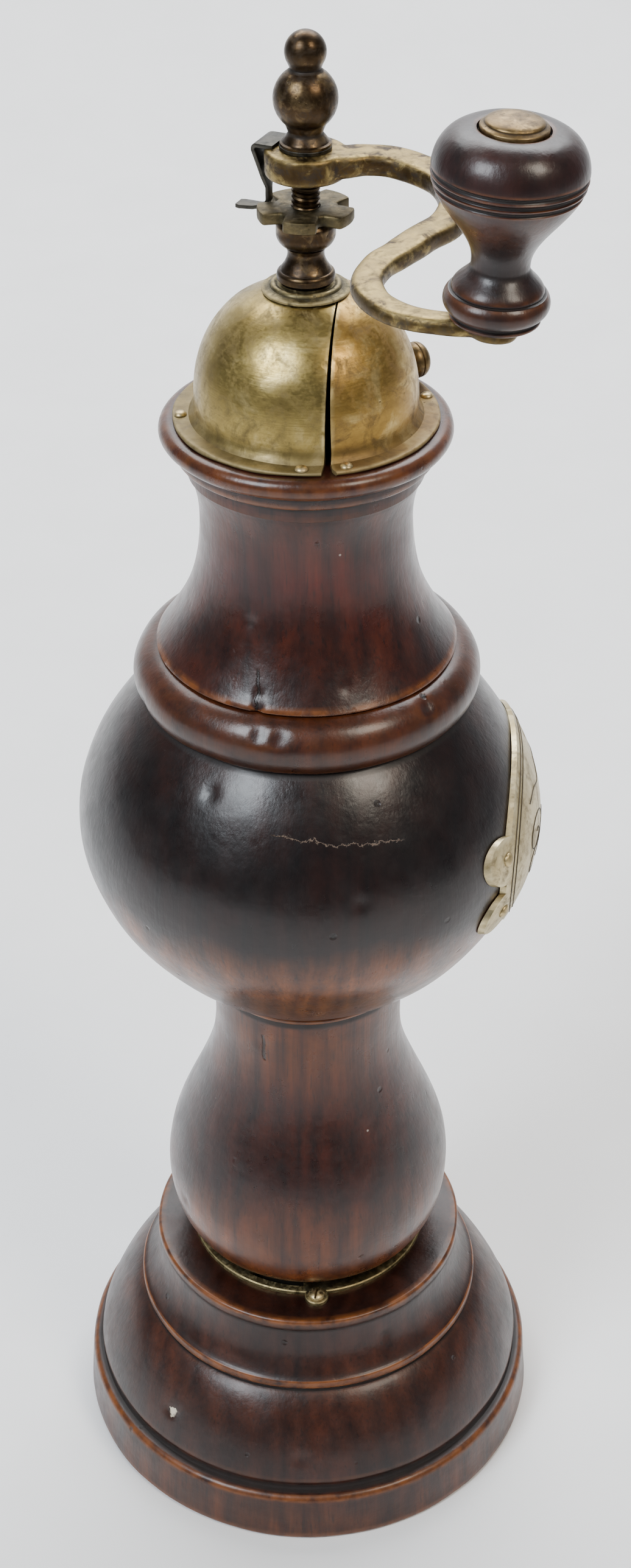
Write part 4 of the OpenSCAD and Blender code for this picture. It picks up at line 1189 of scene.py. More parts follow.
@dataclass
class PedestalBulb:
    """The turned bulb and waist, with the brass foot ring under it."""

    foot: float = 25.0
    foot_height: float = 2.8
    radius: float = 34.6
    round_height: float = 18.8
    taper_height: float = 49.0
    waist: float = 22.0
    waist_height: float = 11.5
    bead: float = 0.9
    chute: float = 14.6
    tenon: float = 19.0
    tenon_height: float = 8.0

    def build(self, shop: Workshop) -> None:
        """Builds and hands over the bulb and dresses the foot ring."""
        z0, z1 = low("bulb_pedestal"), high("bulb_pedestal")
        bulb_z = z0 + self.foot_height
        middle = bulb_z + self.round_height
        waist_z = middle + self.taper_height
        bead_z = waist_z + self.waist_height
        lower = [(r, -z) for r, z in bulge((self.radius, -middle), (self.foot, -bulb_z), 2.1)][::-1]
        outline = [(self.foot - 0.6, z0), (self.foot, z0 + 0.6), *lower]
        outline += taper((self.radius, middle), (self.waist, waist_z), 2.3, 60)
        outline += [(self.waist + 0.3, bead_z)]
        for level in (1, 3):
            outline += arc((self.waist + 0.3, bead_z + level * self.bead), self.bead, -80, 80, 8)
        step = z1 - self.tenon_height
        outline += [(self.waist, step), (self.tenon, step), (self.tenon, z1)]
        outline += [(self.chute, z1), (self.chute, z0)]
        piece = turned("turned_bulb", outline, 224, 1.2)
        aged(piece, 0.2, 15, (Dent(-118, 131, 1.6, 0.3), Dent(-150, 78, 1.6, 0.3)))
        shop.hand_over(piece, "mill_body", Wood.BULB, ["bulb_pedestal"], relief=1.0)
        shop.dress("foot_ring", Metal.RING)
        shop.dress("foot_screws", Metal.STEEL)


@dataclass
class BellyHopper:
    """The round hopper with the roll that crowns it."""

    foot: float = 24.0
    radius: float = 51.1
    low_height: float = 42.4
    up_height: float = 33.0
    wall: float = 9.0
    roll: float = 6.8
    roll_at: float = 30.5
    socket: float = 19.1
    socket_depth: float = 8.1
    throat: float = 15.0
    floor_height: float = 15.0

    def surface(self) -> Outline:
        """The belly's outside below its roll."""
        z0 = low("belly_hopper")
        middle = z0 + self.low_height
        end = (self.roll_at + 4, middle + self.up_height)
        lower = swell((self.foot, z0), (self.radius, middle), 0.8, 60)
        return lower + taper((self.radius, middle), end, 0.85, 46)[1:]

    def radius_at(self, z: float) -> float:
        """Radius of the belly at a height."""
        points = self.surface()
        return float(np.interp(z, [p[1] for p in points], [p[0] for p in points]))

    def middle(self) -> float:
        """Height of the belly's greatest radius."""
        return low("belly_hopper") + self.low_height

    def build(self, shop: Workshop) -> None:
        """Builds and hands over the hopper."""
        z0, z1 = low("belly_hopper"), high("belly_hopper")
        roll_z = self.middle() + self.up_height + 4.8
        wide = (self.radius - self.wall, self.middle())
        shelf = z1 - self.socket_depth
        inside = [(self.socket, z0), (self.socket, z0 + self.floor_height)]
        inside += swell((self.socket, z0 + self.floor_height), wide, 0.9, 12)
        inside += taper(wide, (self.throat, shelf - 3), 0.9, 12)
        inside += [(self.throat, shelf), (self.socket, shelf), (self.socket, z1)]
        outline = self.surface() + arc((self.roll_at, roll_z), self.roll, -42, 84, 26)
        outline += [(self.roll_at - 1, z1)] + inside[::-1]
        piece = turned("turned_belly", outline, 256, 1.6)
        dents = (Dent(-105.7, 227.5, 1.5, 0.45), Dent(-99, 227.2, 1.6, 0.5), Dent(-45, 228, 1.3, 0.6),
                 Dent(-120, 213, 1.4, 0.4), Dent(-77, 195, 1.8, 0.25), Dent(-160, 222, 2.0, 0.4))
        aged(piece, 0.28, 16, dents)
        shop.hand_over(piece, "mill_body", Wood.BELLY, ["belly_hopper"], relief=1.3)


@dataclass
class NeckCollar:
    """The waisted neck with its skirt and collar."""

    skirt: float = 32.1
    neck: float = 22.1
    sweep_height: float = 30.6
    flare_height: float = 10.0
    collar: float = 29.8
    bead: float = 2.2
    throat: float = 14.0
    tenon: float = 19.0
    tenon_height: float = 8.0
    funnel: float = 19.2

    def build(self, shop: Workshop) -> None:
        """Builds and hands over the neck."""
        z_tenon, z1 = low("neck_collar"), high("neck_collar")
        z0 = z_tenon + self.tenon_height
        sweep_z = z0 + self.sweep_height
        fillet = sweep_z + self.flare_height
        small, large = self.neck + 2.3, self.neck + 4.6
        outline = [(self.throat, z_tenon), (self.tenon, z_tenon), (self.tenon, z0), (self.skirt - 0.4, z0)]
        outline += [(self.skirt, z0 + 0.4), *cove((self.skirt, z0 + 0.7), (self.neck, sweep_z), 2.4, 40)]
        outline += flare((self.neck, sweep_z), (small - 0.5, fillet), 2)
        outline += [(small, fillet + 0.3), (small, fillet + 3.4), (small + 0.3, fillet + 3.9)]
        outline += [(large - 0.3, fillet + 4.1), (large, fillet + 4.5), (large, fillet + 7)]
        outline += arc((self.collar - self.bead, z1 - self.bead), self.bead, -80, 90, 16)
        outline += [(self.funnel, z1), (self.throat, fillet - 4)]
        piece = turned("turned_neck", outline, 224, 1.1)
        dents = (Dent(-108.5, 231, 0.9, 0.9), Dent(-109.3, 233.5, 0.8, 0.5), Dent(-74, 235, 1.0, 0.3),
                 Dent(-118, 246, 1.2, 0.35))
        aged(piece, 0.2, 13, dents)
        shop.hand_over(piece, "mill_body", Wood.NECK, ["neck_collar"], relief=1.1)


@dataclass
class NamePlate:
    """The lobed brass plate on the belly, with its pins and a plain engraved flourish."""

    belly: BellyHopper
    half_width: float = 30.0
    half_height: float = 21.5
    lobe: float = 5.5
    gap: float = 0.1
    thick: float = 1.1
    line: float = 0.16

    def centre(self) -> float:
        """Height of the plate's middle."""
        return (low("name_plate") + high("name_plate")) / 2

    def lobes(self) -> list[Point]:
        """Middles of the four lobes as (y, z) from the plate's centre."""
        return [(y * (self.half_width - 1.5), z * (self.lobe + 1)) for y in (-1, 1) for z in (-1, 1)]

    def on_surface(self, y: float, z: float, lift: float) -> Vector:
        """A point on the plate in metres.

        Args:
            y: Distance sideways from the plate's centre.
            z: Distance upwards from it.
            lift: Distance above the plate's face.

        Returns:
            The point.
        """
        height = self.centre() + z
        radius = self.belly.radius_at(height) + self.gap + self.thick + lift
        return azimuth_point(math.degrees(math.asin(y / radius)), radius, height)

    def facing(self, place: Vector) -> Vector:
        """The way that the belly faces under a point."""
        z = place.z / MM
        slope = self.belly.radius_at(z + 0.5) - self.belly.radius_at(z - 0.5)
        return (Vector((place.x, place.y, 0)).normalized() - slope * Vector((0, 0, 1))).normalized()

    def plate(self) -> bpy.types.Object:
        """The curved plate, cut from a skin of the belly."""
        skin = self.belly.surface()
        levels = [p for p in skin if abs(p[1] - self.centre()) < self.half_height + 4]
        back = self.gap + self.thick
        outline = [(r + self.gap, z) for r, z in levels] + [(r + back, z) for r, z in levels[::-1]]
        piece = turned("name_plate_sheet", outline, 256, 1.0)
        facing = Matrix(((0, 0, 1, 0), (1, 0, 0, 0), (0, 1, 0, 0), (0, 0, 0, 1)))
        place = Matrix.Translation((0, 0, self.centre() * MM)) @ facing
        angles = np.linspace(0, TURN, 120, endpoint=False)
        oval = [(self.half_width * math.cos(a), self.half_height * math.sin(a)) for a in angles]
        cutter = prism("oval", oval, (20, 80), place)
        for y, z in self.lobes():
            disc = [(y + self.lobe * math.cos(a), z + self.lobe * math.sin(a)) for a in angles[::3]]
            carve(cutter, prism("lobe", disc, (20, 80), place), "UNION")
        carve(piece, cutter, "INTERSECT")
        return piece

    def flourish(self, shop: Workshop) -> bpy.types.Object:
        """An engraved border and a symmetrical scroll, as fine lines let into the plate."""
        def oval(share: float) -> list[Vector]:
            across, up = share * self.half_width, share * self.half_height
            angles = np.linspace(0, TURN, 140)
            return [self.on_surface(across * math.cos(a), up * math.sin(a), 0) for a in angles]

        def scroll(side: int, level: int) -> list[Vector]:
            turns = np.linspace(0.0, 2.6 * math.pi, 70)
            return [self.on_surface(side * (13 - (7.0 - 0.75 * t) * math.cos(t)),
                                    level * (2.6 + (5.2 - 0.55 * t) * math.sin(t)), 0) for t in turns]

        def ripple(level: float, swing: float) -> list[Vector]:
            return [self.on_surface(y, level + swing * math.sin(0.42 * y) * math.cos(y / 9.5), 0)
                    for y in np.linspace(-14.5, 14.5, 70)]

        lines = [oval(0.93), oval(0.885)] + [scroll(s, v) for s in (-1, 1) for v in (-1, 1)]
        lines += [ripple(0, 3.2), ripple(0, -3.2), ripple(11.5, 1.1), ripple(-11.5, 1.1)]
        return shop.wires.run(path_object("plate_engraving", lines),
                              {"Radius": self.line * MM, "Sides": 6, "Material": shop.material(Metal.INLAY)})

    def build(self, shop: Workshop) -> None:
        """Builds and hands over the plate, its engraving and its pins."""
        shop.hand_over(self.plate(), "mill_body", Metal.PLATE, ["name_plate"], relief=0.4)
        shop.hand_over(self.flourish(shop), "mill_body", Metal.INLAY)
        rise = 1 + 0.5 / (self.lobe + 1)
        places = [self.on_surface(y, z * rise, 0) for y, z in self.lobes()]
        leans = [self.facing(place) for place in places]
        pin = domed_head("pin", 1.6, 0.8, 0.75, 3)
        pins = shop.fasten("name_plate_pins", pin, places, leans, 5, Metal.PIN)
        shop.hand_over(pins, "mill_body", Metal.PIN, ["plate_pins"])


@dataclass
class Dome:
    """The sheet brass dome: two shells that meet at a seam, their flange and its pins."""

    radius: float = 22.6
    height: float = 24.4
    power: float = 2.3
    sheet: float = 0.9
    flange: float = 27.0
    foot_rise: float = 3.5
    hole: float = 5.0
    seam: float = 6.63
    seam_turn: float = -8.0
    seam_top: float = 0.15
    seam_foot: float = 1.6
    door_from: float = 24.0
    door_span: float = 100.0
    opening_foot: float = 0.2
    opening_top: float = 0.74
    corner: float = 3.0
    pins: tuple[float, ...] = (-92, -72, 15, 62, 104, 140, 184)

    def foot(self) -> float:
        """Height at which the superellipse starts."""
        return low("dome_shell_left") + self.foot_rise

    def skin(self, inset: float, end: float) -> Outline:
        """The dome's curve, moved inwards by an inset."""
        return superellipse(self.radius - inset, self.height - inset, self.power, end, self.foot())

    def sheet_outline(self) -> Outline:
        """The outline of the whole sheet, flange included."""
        z0 = low("dome_shell_left")
        top = z0 + self.sheet
        rim = self.sheet / 2
        outline = [(self.radius - self.sheet - 0.6, z0), *arc((self.flange - rim, z0 + rim), rim, -90, 90, 6)]
        outline += cove((self.radius + 1.1, top), (self.radius, self.foot()), 2.2, 8)[:-1]
        outline += self.skin(0, self.hole) + self.skin(self.sheet, self.hole)[::-1]
        return outline

    def seam_wedge(self, gap_top: float, gap_foot: float) -> bpy.types.Object:
        """A block that fills the space right of the seam."""
        foot, top = low("dome_shell_left") - 5, self.foot() + self.height + 5
        corners = [(self.seam + gap_foot, foot), (60, foot), (60, top), (self.seam + gap_top, top)]
        upright = Matrix.Rotation(math.radians(self.seam_turn), 4, "Z") @ Matrix.Rotation(math.pi / 2, 4, "X")
        return prism("seam", corners, (-60, 60), upright)

    def opening(self) -> bpy.types.Object:
        """A block that fills the loading opening, with rounded corners."""
        span = np.radians(np.linspace(self.door_from, self.door_from + self.door_span, 24))
        rim = [(60 * math.cos(a), 60 * math.sin(a)) for a in span]
        return prism("opening", [(0.0, 0.0), *rim],
                     (self.foot() + self.opening_foot, self.foot() + self.opening_top * self.height))

    def shell(self, name: str, right: bool) -> bpy.types.Object:
        """One of the two shells."""
        piece = turned(name, self.sheet_outline(), 240, 0.9)
        dents = (Dent(-58, 289, 2.5, 0.25), Dent(-125, 296, 3.0, 0.2), Dent(-100, 302, 2.5, 0.2))
        aged(piece, 0.22, 9, dents)
        if right:
            carve(piece, self.seam_wedge(self.seam_top, self.seam_foot), "INTERSECT")
            self.file_corner(piece)
        else:
            carve(piece, self.seam_wedge(0, 0), "DIFFERENCE")
        carve(piece, self.opening(), "DIFFERENCE")
        return piece

    def file_corner(self, piece: bpy.types.Object) -> None:
        """Rounds the flange's front corner on the right shell."""
        at = self.seam + self.seam_foot
        reach_y = -math.sqrt(self.flange ** 2 - at ** 2)
        curve = arc((at + self.corner, reach_y + self.corner), self.corner, 180, 270, 8)
        outline = [(at - 2, reach_y - 2), (at + self.corner, reach_y - 2), *curve[::-1],
                   (at - 2, reach_y + self.corner)]
        z0 = low("dome_shell_right")
        place = Matrix.Rotation(math.radians(self.seam_turn), 4, "Z")
        carve(piece, prism("corner", outline, (z0 - 1, z0 + 2), place), "DIFFERENCE")

    def build(self, shop: Workshop) -> None:
        """Builds and hands over the shells and the pins."""
        shop.hand_over(self.shell("dome_left", False), "mill_body", Metal.DOME,
                       ["dome_shell_left"], relief=0.5)
        shop.hand_over(self.shell("dome_right", True), "mill_body", Metal.DOME_RIGHT,
                       ["dome_shell_right"], relief=0.5)
        z = low("dome_shell_left") + self.sheet
        places = [azimuth_point(a, (self.radius + 1 + self.flange) / 2, z) for a in self.pins]
        pins = shop.fasten("dome_flange_pins", domed_head("pin", 1.3, 0.8, 0.7, 0.9), places,
                           [Vector((0, 0, 1))] * len(places), 7, Metal.PIN)
        shop.hand_over(pins, "mill_body", Metal.PIN, ["dome_pins"])


@dataclass
class LoadingDoor:
    """The sheet that slides round inside the dome, with its button."""

    dome: Dome
    gap: float = 0.35
    button: float = 3.75
    stem: float = 1.2
    stand: float = 1.1

    def knob(self) -> bpy.types.Object:
        """The button: a disc with a riveted stem."""
        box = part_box("door_knob")
        middle = (box[0] + box[1]) / 2
        azimuth = math.atan2(middle.y, middle.x)
        inner = self.dome.radius - self.dome.sheet - self.gap
        near = self.dome.radius + self.stand
        rim = near + 2.1
        outline = [(0.0, inner - 1.6), (self.stem, inner - 1.6), (self.stem, near), (self.stem + 1, near)]
        outline += swell((self.stem + 1.2, near + 0.1), (self.button, rim), 0.62, 10)
        outline += [(self.button, rim + 0.25), (self.button - 0.22, rim + 0.42),
                    (self.button - 0.05, rim + 0.62)]
        outline += bulge((self.button - 0.05, rim + 0.9), (0.0, near + 5.3), 2, 12)
        aim = Matrix.Rotation(azimuth, 4, "Z") @ Matrix.Rotation(math.pi / 2, 4, "Y")
        return turned("door_button", outline, 64, 0.6, Matrix.Translation((0, 0, middle.z)) @ aim)

    def build(self, shop: Workshop) -> None:
        """Builds and hands over the door."""
        shop.dress("door_panel", Metal.DOME)
        shop.hand_over(self.knob(), "loading_door", Metal.CAP, ["door_knob"], relief=0.5)


@dataclass
class Bushing:
    """The turned bushing on the dome, its washer, and the nut under the dome."""

    shank: float = 5.0
    bore: float = 2.85
    washer: float = 8.7
    lip: float = 7.0
    slim: float = 3.6
    wide: float = 5.7

    def bushing(self) -> bpy.types.Object:
        """The turned bushing: a foot bead, a slim waist and a cup under the nut."""
        z0, z = low("spindle_bushing"), high("boss_washer")
        top = high("spindle_bushing")
        bead, waist, cup = z + 0.5, z + 5.9, z + 7.4
        outline = [(self.bore, z0), (self.shank, z0), (self.shank, z), (self.shank - 0.35, z + 0.15),
                   (self.shank - 0.3, bead), (self.wide - 0.35, bead + 0.05), (self.wide, bead + 0.3)]
        outline += [(self.wide, bead + 1.2), *arc((self.wide - 0.9, bead + 1.2), 0.9, 10, 75, 6)]
        outline += cove((self.slim + 1.3, bead + 2.4), (self.slim, waist), 1.8, 18)
        outline += [(self.slim, waist + 0.4), (self.slim + 0.3, cup - 0.3), (self.slim + 0.1, cup - 0.1)]
        outline += swell((self.slim + 0.5, cup + 0.1), (self.wide + 0.1, cup + 2.6), 0.6, 14)
        outline += [(self.wide + 0.1, top - 0.7), (self.wide - 0.4, top), (self.bore, top)]
        return turned("bushing_column", outline, 96, 0.4)

    def washer_ring(self) -> bpy.types.Object:
        """The stepped washer between bushing and dome."""
        z0, z1 = low("boss_washer"), high("boss_washer")
        lip = self.lip
        outline = [(self.shank, z0 + 0.75), (self.washer, z0), (self.washer, z0 + 0.35),
                   (self.washer - 0.3, z0 + 0.6), (lip + 0.1, z1 - 0.65), (lip, z1 - 0.35),
                   (lip - 0.3, z1 - 0.1), (lip - 0.7, z1), (lip - 1.3, z1 - 0.25), (self.shank, z1)]
        return turned("bushing_washer", outline, 96, 0.4)

    def build(self, shop: Workshop) -> None:
        """Builds and hands over the bushing and dresses its nut."""
        shop.hand_over(self.bushing(), "mill_body", Metal.BRONZE, ["spindle_bushing"],
                       relief=0.5)
        shop.hand_over(self.washer_ring(), "mill_body", Metal.RING, ["boss_washer"], relief=0.5)
        shop.dress("bushing_nut", Metal.BRONZE)


@dataclass
class StarNut:
    """The five-lobed nut that sets the grind."""

    radius: float = 9.4
    lobe: float = 6.4
    core: float = 6.2
    thick: float = 2.4
    turn: float = -98.0
    lobes: int = 5
    bore: float = 2.85
    edge: float = 0.45

    def outline(self) -> Outline:
        """The star as x, y points."""
        half = self.lobe / 2
        tip, root = math.asin(half / self.radius), math.asin(half / self.core)
        points: Outline = []
        for i in range(self.lobes):
            middle = math.radians(self.turn) + TURN / self.lobes * i
            after = middle + TURN / self.lobes
            corners = [(self.core, middle - root)]
            corners += [(self.radius, middle + tip * s) for s in (-1, -0.5, 0, 0.5, 1)]
            corners += [(self.core * 1.0, middle + root)]
            if after - root > middle + root + 0.02:
                corners += [(self.core, (middle + after) / 2)]
            points += [(r * math.cos(a), r * math.sin(a)) for r, a in corners]
        return points

    def build(self, shop: Workshop) -> None:
        """Builds and hands over the nut."""
        z = low("star_nut")
        star = prism("grind_nut", self.outline(), (z, z + self.thick), edge=self.edge)
        bore = [(0.0, z - 2), (self.bore, z - 2), (self.bore, z + 8), (0.0, z + 8)]
        carve(star, turned("bore", bore, 48, 9.0), "DIFFERENCE")
        shop.hand_over(star, "adjuster", Metal.NUT, ["star_nut"], relief=0.6)


@dataclass
class Spindle:
    """The spindle with its bare thread, and the burrs and nuts low on it."""

    radius: float = 2.8
    root: float = 2.35
    end_radius: float = 2.2
    pitch: float = 1.0

    def build(self, shop: Workshop) -> None:
        """Builds and hands over the spindle and dresses the burrs."""
        z0, z1 = low("spindle"), high("spindle")
        bare, hub = high("star_nut") - 6.0, high("crank_arm") - 5.2
        outline = [(0.0, z0), (self.radius - 0.5, z0), (self.radius, z0 + 0.5), (self.radius, bare),
                   (self.root, bare + 0.4), (self.root, hub - 0.8), (self.radius, hub - 0.4)]
        outline += [(self.radius, high("crank_arm") - 4), (self.end_radius, high("crank_arm") - 4)]
        outline += [(self.end_radius, z1), (0.0, z1)]
        shop.hand_over(turned("spindle_rod", outline, 48, 4.0), "drive", Metal.BRONZE,
                       ["spindle"])
        turns = (hub - bare - 1.2) / self.pitch
        ridge = 0.42 * self.pitch
        seedling = points_object("spindle_thread", [Vector()], [Vector((0, 0, 1))])
        thread = shop.threads.run(seedling, {"Radius": (self.radius - ridge) * MM, "Pitch": self.pitch * MM,
                                             "Turns": turns, "Start": (0, 0, (bare + 0.5) * MM),
                                             "Material": shop.material(Metal.BRONZE)})
        shop.hand_over(thread, "drive", Metal.BRONZE)
        for node in ("inner_burr", "burr_washer"):
            shop.dress(node, Metal.IRON)
        shop.dress("outer_burr", Metal.IRON)
        for node in ("burr_nut", "burr_bridge"):
            shop.dress(node, Metal.STEEL)
        shop.dress("burr_screws", Metal.PIN)


@dataclass
class Crank:
    """The S-shaped crank, with the boss at its end and the capped pin that its knob turns on."""

    reach: float = 76.3
    thick_hub: float = 4.4
    thick_end: float = 2.8
    width_hub: float = 8.0
    width_end: float = 4.8
    edge: float = 1.2
    hub: float = 7.9
    hub_height: float = 5.2
    boss: float = 4.2
    boss_height: float = 3.1
    end_drop: float = 0.3
    pin: float = 2.0
    cap: float = 5.6
    knob_height: float = 32.5
    recess: float = 1.2
    voxel: float = 0.38
    bends: tuple[Point, ...] = (
        (0, 0), (0.05, 0.06), (0.06, 0.13), (0.09, 0.19), (0.155, 0.232), (0.26, 0.255), (0.375, 0.228),
        (0.48, 0.148), (0.54, 0.045), (0.59, -0.035), (0.635, -0.107), (0.705, -0.165), (0.8, -0.183),
        (0.88, -0.155), (0.945, -0.087), (1, 0))

    def handle_place(self) -> Matrix:
        """Where the handle's axis stands: its origin in the boss's top, +Z along the axis."""
        spin = joint("knob_spin")
        axis = Vector(spin["axis"]).normalized()
        return Matrix.Translation(Vector(spin["pos_m"])) @ axis.to_track_quat("Z", "Y").to_matrix().to_4x4()

    def path(self, steps: int = 8) -> np.ndarray:
        """The bar's centre line in millimetres, in the row frame's x and y."""
        p = np.array(self.bends) * self.reach
        line = []
        for i in range(len(p) - 1):
            a, b, c, d = p[max(i - 1, 0)], p[i], p[i + 1], p[min(i + 2, len(p) - 1)]
            for t in np.arange(steps) / steps:
                line.append(0.5 * (2 * b + (c - a) * t + (2 * a - 5 * b + 4 * c - d) * t ** 2
                                   + (3 * b - a - 3 * c + d) * t ** 3))
        end = Vector(joint("knob_spin")["pos_m"])
        turn = math.atan2(end.y, end.x)
        spin = np.array([[math.cos(turn), math.sin(turn)], [-math.sin(turn), math.cos(turn)]])
        return np.array(line + [p[-1]]) @ spin

    def bar(self) -> bpy.types.Object:
        """The bar: a rounded section run along the path, getting slimmer outwards."""
        line = self.path()
        ahead = np.gradient(line, axis=0)
        side = np.stack([-ahead[:, 1], ahead[:, 0]], 1) / np.linalg.norm(ahead, axis=1)[:, None]
        hub_top = high("crank_arm") - 0.1
        end_top = joint("knob_spin")["pos_m"][2] / MM - self.end_drop
        count = len(line)
        points, faces = [], []
        for i in range(count):
            share = i / (count - 1)
            out = min(max((np.linalg.norm(line[i]) - self.hub) / (self.reach - self.hub), 0), 1)
            half = (self.width_hub + (self.width_end - self.width_hub) * share) / 2
            thick = self.thick_hub + (self.thick_end - self.thick_hub) * out
            middle = hub_top + (end_top - hub_top) * out - thick / 2
            section = self.section(half, thick / 2)
            points += [[*(line[i] + side[i] * across), middle + rise] for across, rise in section]
        ring = len(section)
        for i in range(count - 1):
            for k in range(ring):
                n = (k + 1) % ring
                faces.append([i * ring + k, i * ring + n, (i + 1) * ring + n, (i + 1) * ring + k])
        faces += [list(range(ring))[::-1], [(count - 1) * ring + k for k in range(ring)]]
        return mesh_from("bar", np.array(points), faces)

    def section(self, half: float, rise: float) -> Outline:
        """The bar's section: a rectangle with well rounded edges, as (across, up) points."""
        points: Outline = []
        for side, level, start in ((1, 1, 0), (-1, 1, 90), (-1, -1, 180), (1, -1, 270)):
            centre = (side * (half - self.edge), level * (rise - self.edge))
            points += arc(centre, self.edge, start, start + 90, 4)
        return points

    def arm(self) -> bpy.types.Object:
        """The whole crank as one casting, its parts melted together."""
        z1 = high("crank_arm")
        z0 = z1 - self.hub_height
        hub = [(0.0, z0), *arc((self.hub - 0.9, z0 + 0.9), 0.9, -90, 0, 4),
               *arc((self.hub - 0.9, z1 - 0.9), 0.9, 0, 90, 5), (0.0, z1)]
        low_end, top_edge = -self.boss_height, 0.5
        boss = [(0.0, low_end), *arc((self.boss - 0.7, low_end + 0.7), 0.7, -90, 0, 4),
                *arc((self.boss - top_edge, -top_edge), top_edge, 0, 90, 4), (0.0, 0.0)]
        piece = joined("crank_casting", [self.bar(), turned("hub", hub, 96, 1.0),
                                         turned("boss", boss, 80, 1.0, self.handle_place())])
        melt = piece.modifiers.new("melt", "REMESH")
        melt.mode = "VOXEL"
        melt.voxel_size = self.voxel * MM
        ease = piece.modifiers.new("ease", "SMOOTH")
        ease.factor = 0.5
        ease.iterations = 3
        bake(piece)
        bore = [(0.0, z0 - 2), (2.82, z0 - 2), (2.82, z1 + 2), (0.0, z1 + 2)]
        carve(piece, turned("bore", bore, 48, 9.0), "DIFFERENCE")
        aged(piece, 0.16, 5)
        return piece

    def build(self, shop: Workshop) -> None:
        """Builds and hands over the crank and the pin with its cap."""
        shop.hand_over(self.arm(), "drive", Metal.CRANK, ["crank_arm"], 60, 0.9)
        rim = 0.1 + self.knob_height
        seat = rim - self.recess + 0.1
        foot = -self.boss_height - 0.7
        outline = [(0.0, foot), (self.pin, foot), (self.pin, seat), (self.cap, seat), (self.cap, rim + 0.15)]
        outline += arc((self.cap - 0.35, rim + 0.15), 0.35, 0, 70, 4)
        outline += bulge((self.cap - 0.75, rim + 0.75), (0.0, rim + 1.8), 2.4, 14)
        shop.hand_over(turned("knob_pin_cap", outline, 80, 0.8, self.handle_place()), "drive", Metal.CAP,
                       ["handle_pin"], relief=0.6)


@dataclass
class NutCatch:
    """The flat spring catch: its clamped end, and the free leg that sits in a notch of the nut."""

    turn: float = 156.0
    thick: float = 0.8
    hinge: float = 5.2
    bend: float = 10.0
    leg: float = 8.1
    tab: float = 14.6
    width: float = 7.4
    foot: float = 1.8
    plate: float = 5.0
    bore: float = 2.2

    def route(self) -> list[tuple[float, float, float]]:
        """Middle line of the free strip as (distance from the spindle, height, half width)."""
        top = high("catch_spring") - self.thick / 2
        nut = low("star_nut") + 1.4
        wide, slim = self.width / 2, self.foot / 2
        corner = arc((self.bend - 1.6, top - 1.2), 1.2, 90, 0, 6)
        line = [(self.hinge, top, wide), (self.bend - 2.4, top, wide)]
        line += [(r, z, wide - 0.1 * i) for i, (r, z) in enumerate(corner)]
        upright = self.leg - self.thick / 2
        line += [(upright + 0.3, nut + 6, (wide + slim) / 2), (upright, nut + 3.4, slim)]
        line += [(upright, nut + 0.9, slim), (self.leg + 0.2, nut - 0.1, slim)]
        line += [(self.leg + 1.2, nut - 0.5, slim), (self.leg + 2.6, nut - 0.75, slim + 0.5)]
        line += [(self.tab - 1.2, nut - 0.9, slim + 0.8), (self.tab - 0.3, nut - 0.9, slim + 0.5)]
        return line

    def strip(self) -> bpy.types.Object:
        """The bent strip as a closed mesh."""
        line = np.array(self.route())
        ahead = np.gradient(line[:, :2], axis=0)
        up = np.stack([-ahead[:, 1], ahead[:, 0]], 1) / np.linalg.norm(ahead, axis=1)[:, None]
        half = self.thick / 2
        points, faces = [], []
        for (r, z, wide), (nr, nz) in zip(line, up):
            for side, face in ((-1, -1), (1, -1), (1, 1), (-1, 1)):
                points.append([r + nr * half * face, side * wide, z + nz * half * face])
        count = len(line)
        for i in range(count - 1):
            for k, n in ((0, 1), (1, 2), (2, 3), (3, 0)):
                faces.append([4 * i + k, 4 * i + n, 4 * i + 4 + n, 4 * i + 4 + k])
        faces += [[0, 1, 2, 3], [4 * count - 4 + k for k in range(4)]]
        piece = mesh_from("catch_strip", np.array(points), faces)
        piece.data.transform(Matrix.Rotation(math.radians(self.turn), 4, "Z"))
        rounded(piece, 0.16)
        return piece

    def build(self, shop: Workshop) -> None:
        """Builds and hands over both parts of the catch."""
        shop.hand_over(self.strip(), "nut_catch", Metal.STEEL, ["catch_spring"], relief=0.4)
        z0, z1 = low("catch_plate"), high("catch_plate")
        ring = [(self.bore, z0), (self.plate - 0.1, z0), (self.plate, z0 + 0.1), (self.plate, z1 - 0.15),
                (self.plate - 0.15, z1), (self.bore, z1)]
        shop.hand_over(turned("catch_clamp", ring, 64, 2.0), "drive", Metal.STEEL,
                       ["catch_plate"])


@dataclass
class Finial:
    """The turned nut that crowns the spindle."""

    ball: float = 6.15
    bud: float = 3.95
    waist: float = 3.35
    foot: float = 4.9
    bore: float = 2.2

    def build(self, shop: Workshop) -> None:
        """Builds and hands over the finial."""
        z = low("finial_nut")
        bud_z = high("finial_nut") - self.bud
        ball_z = bud_z - 8.7
        slope = math.degrees(math.acos((self.waist + 0.6) / self.ball))
        slim = math.degrees(math.acos((self.bud - 0.6) / self.bud))
        outline = [(self.bore, z), (self.foot, z), (self.foot, z + 0.45), (self.foot - 0.4, z + 0.65),
                   (self.foot - 0.45, z + 0.8), (self.waist + 0.35, z + 1.75), (self.waist + 0.05, z + 2.1),
                   (self.waist, z + 2.5), (self.waist + 0.15, z + 2.9)]
        outline += arc((0, ball_z), self.ball, -slope, slope, 36)
        outline += [(self.waist - 0.1, bud_z - 3.45), (self.waist - 0.4, bud_z - 3.1)]
        outline += arc((0, bud_z), self.bud, -slim, 90, 30)
        outline += [(0.0, z + 8.0), (self.bore, z + 8.0)]
        shop.hand_over(turned("finial_turned", outline, 96, 0.6), "drive", Metal.BRONZE,
                       ["finial_nut"], relief=0.8)


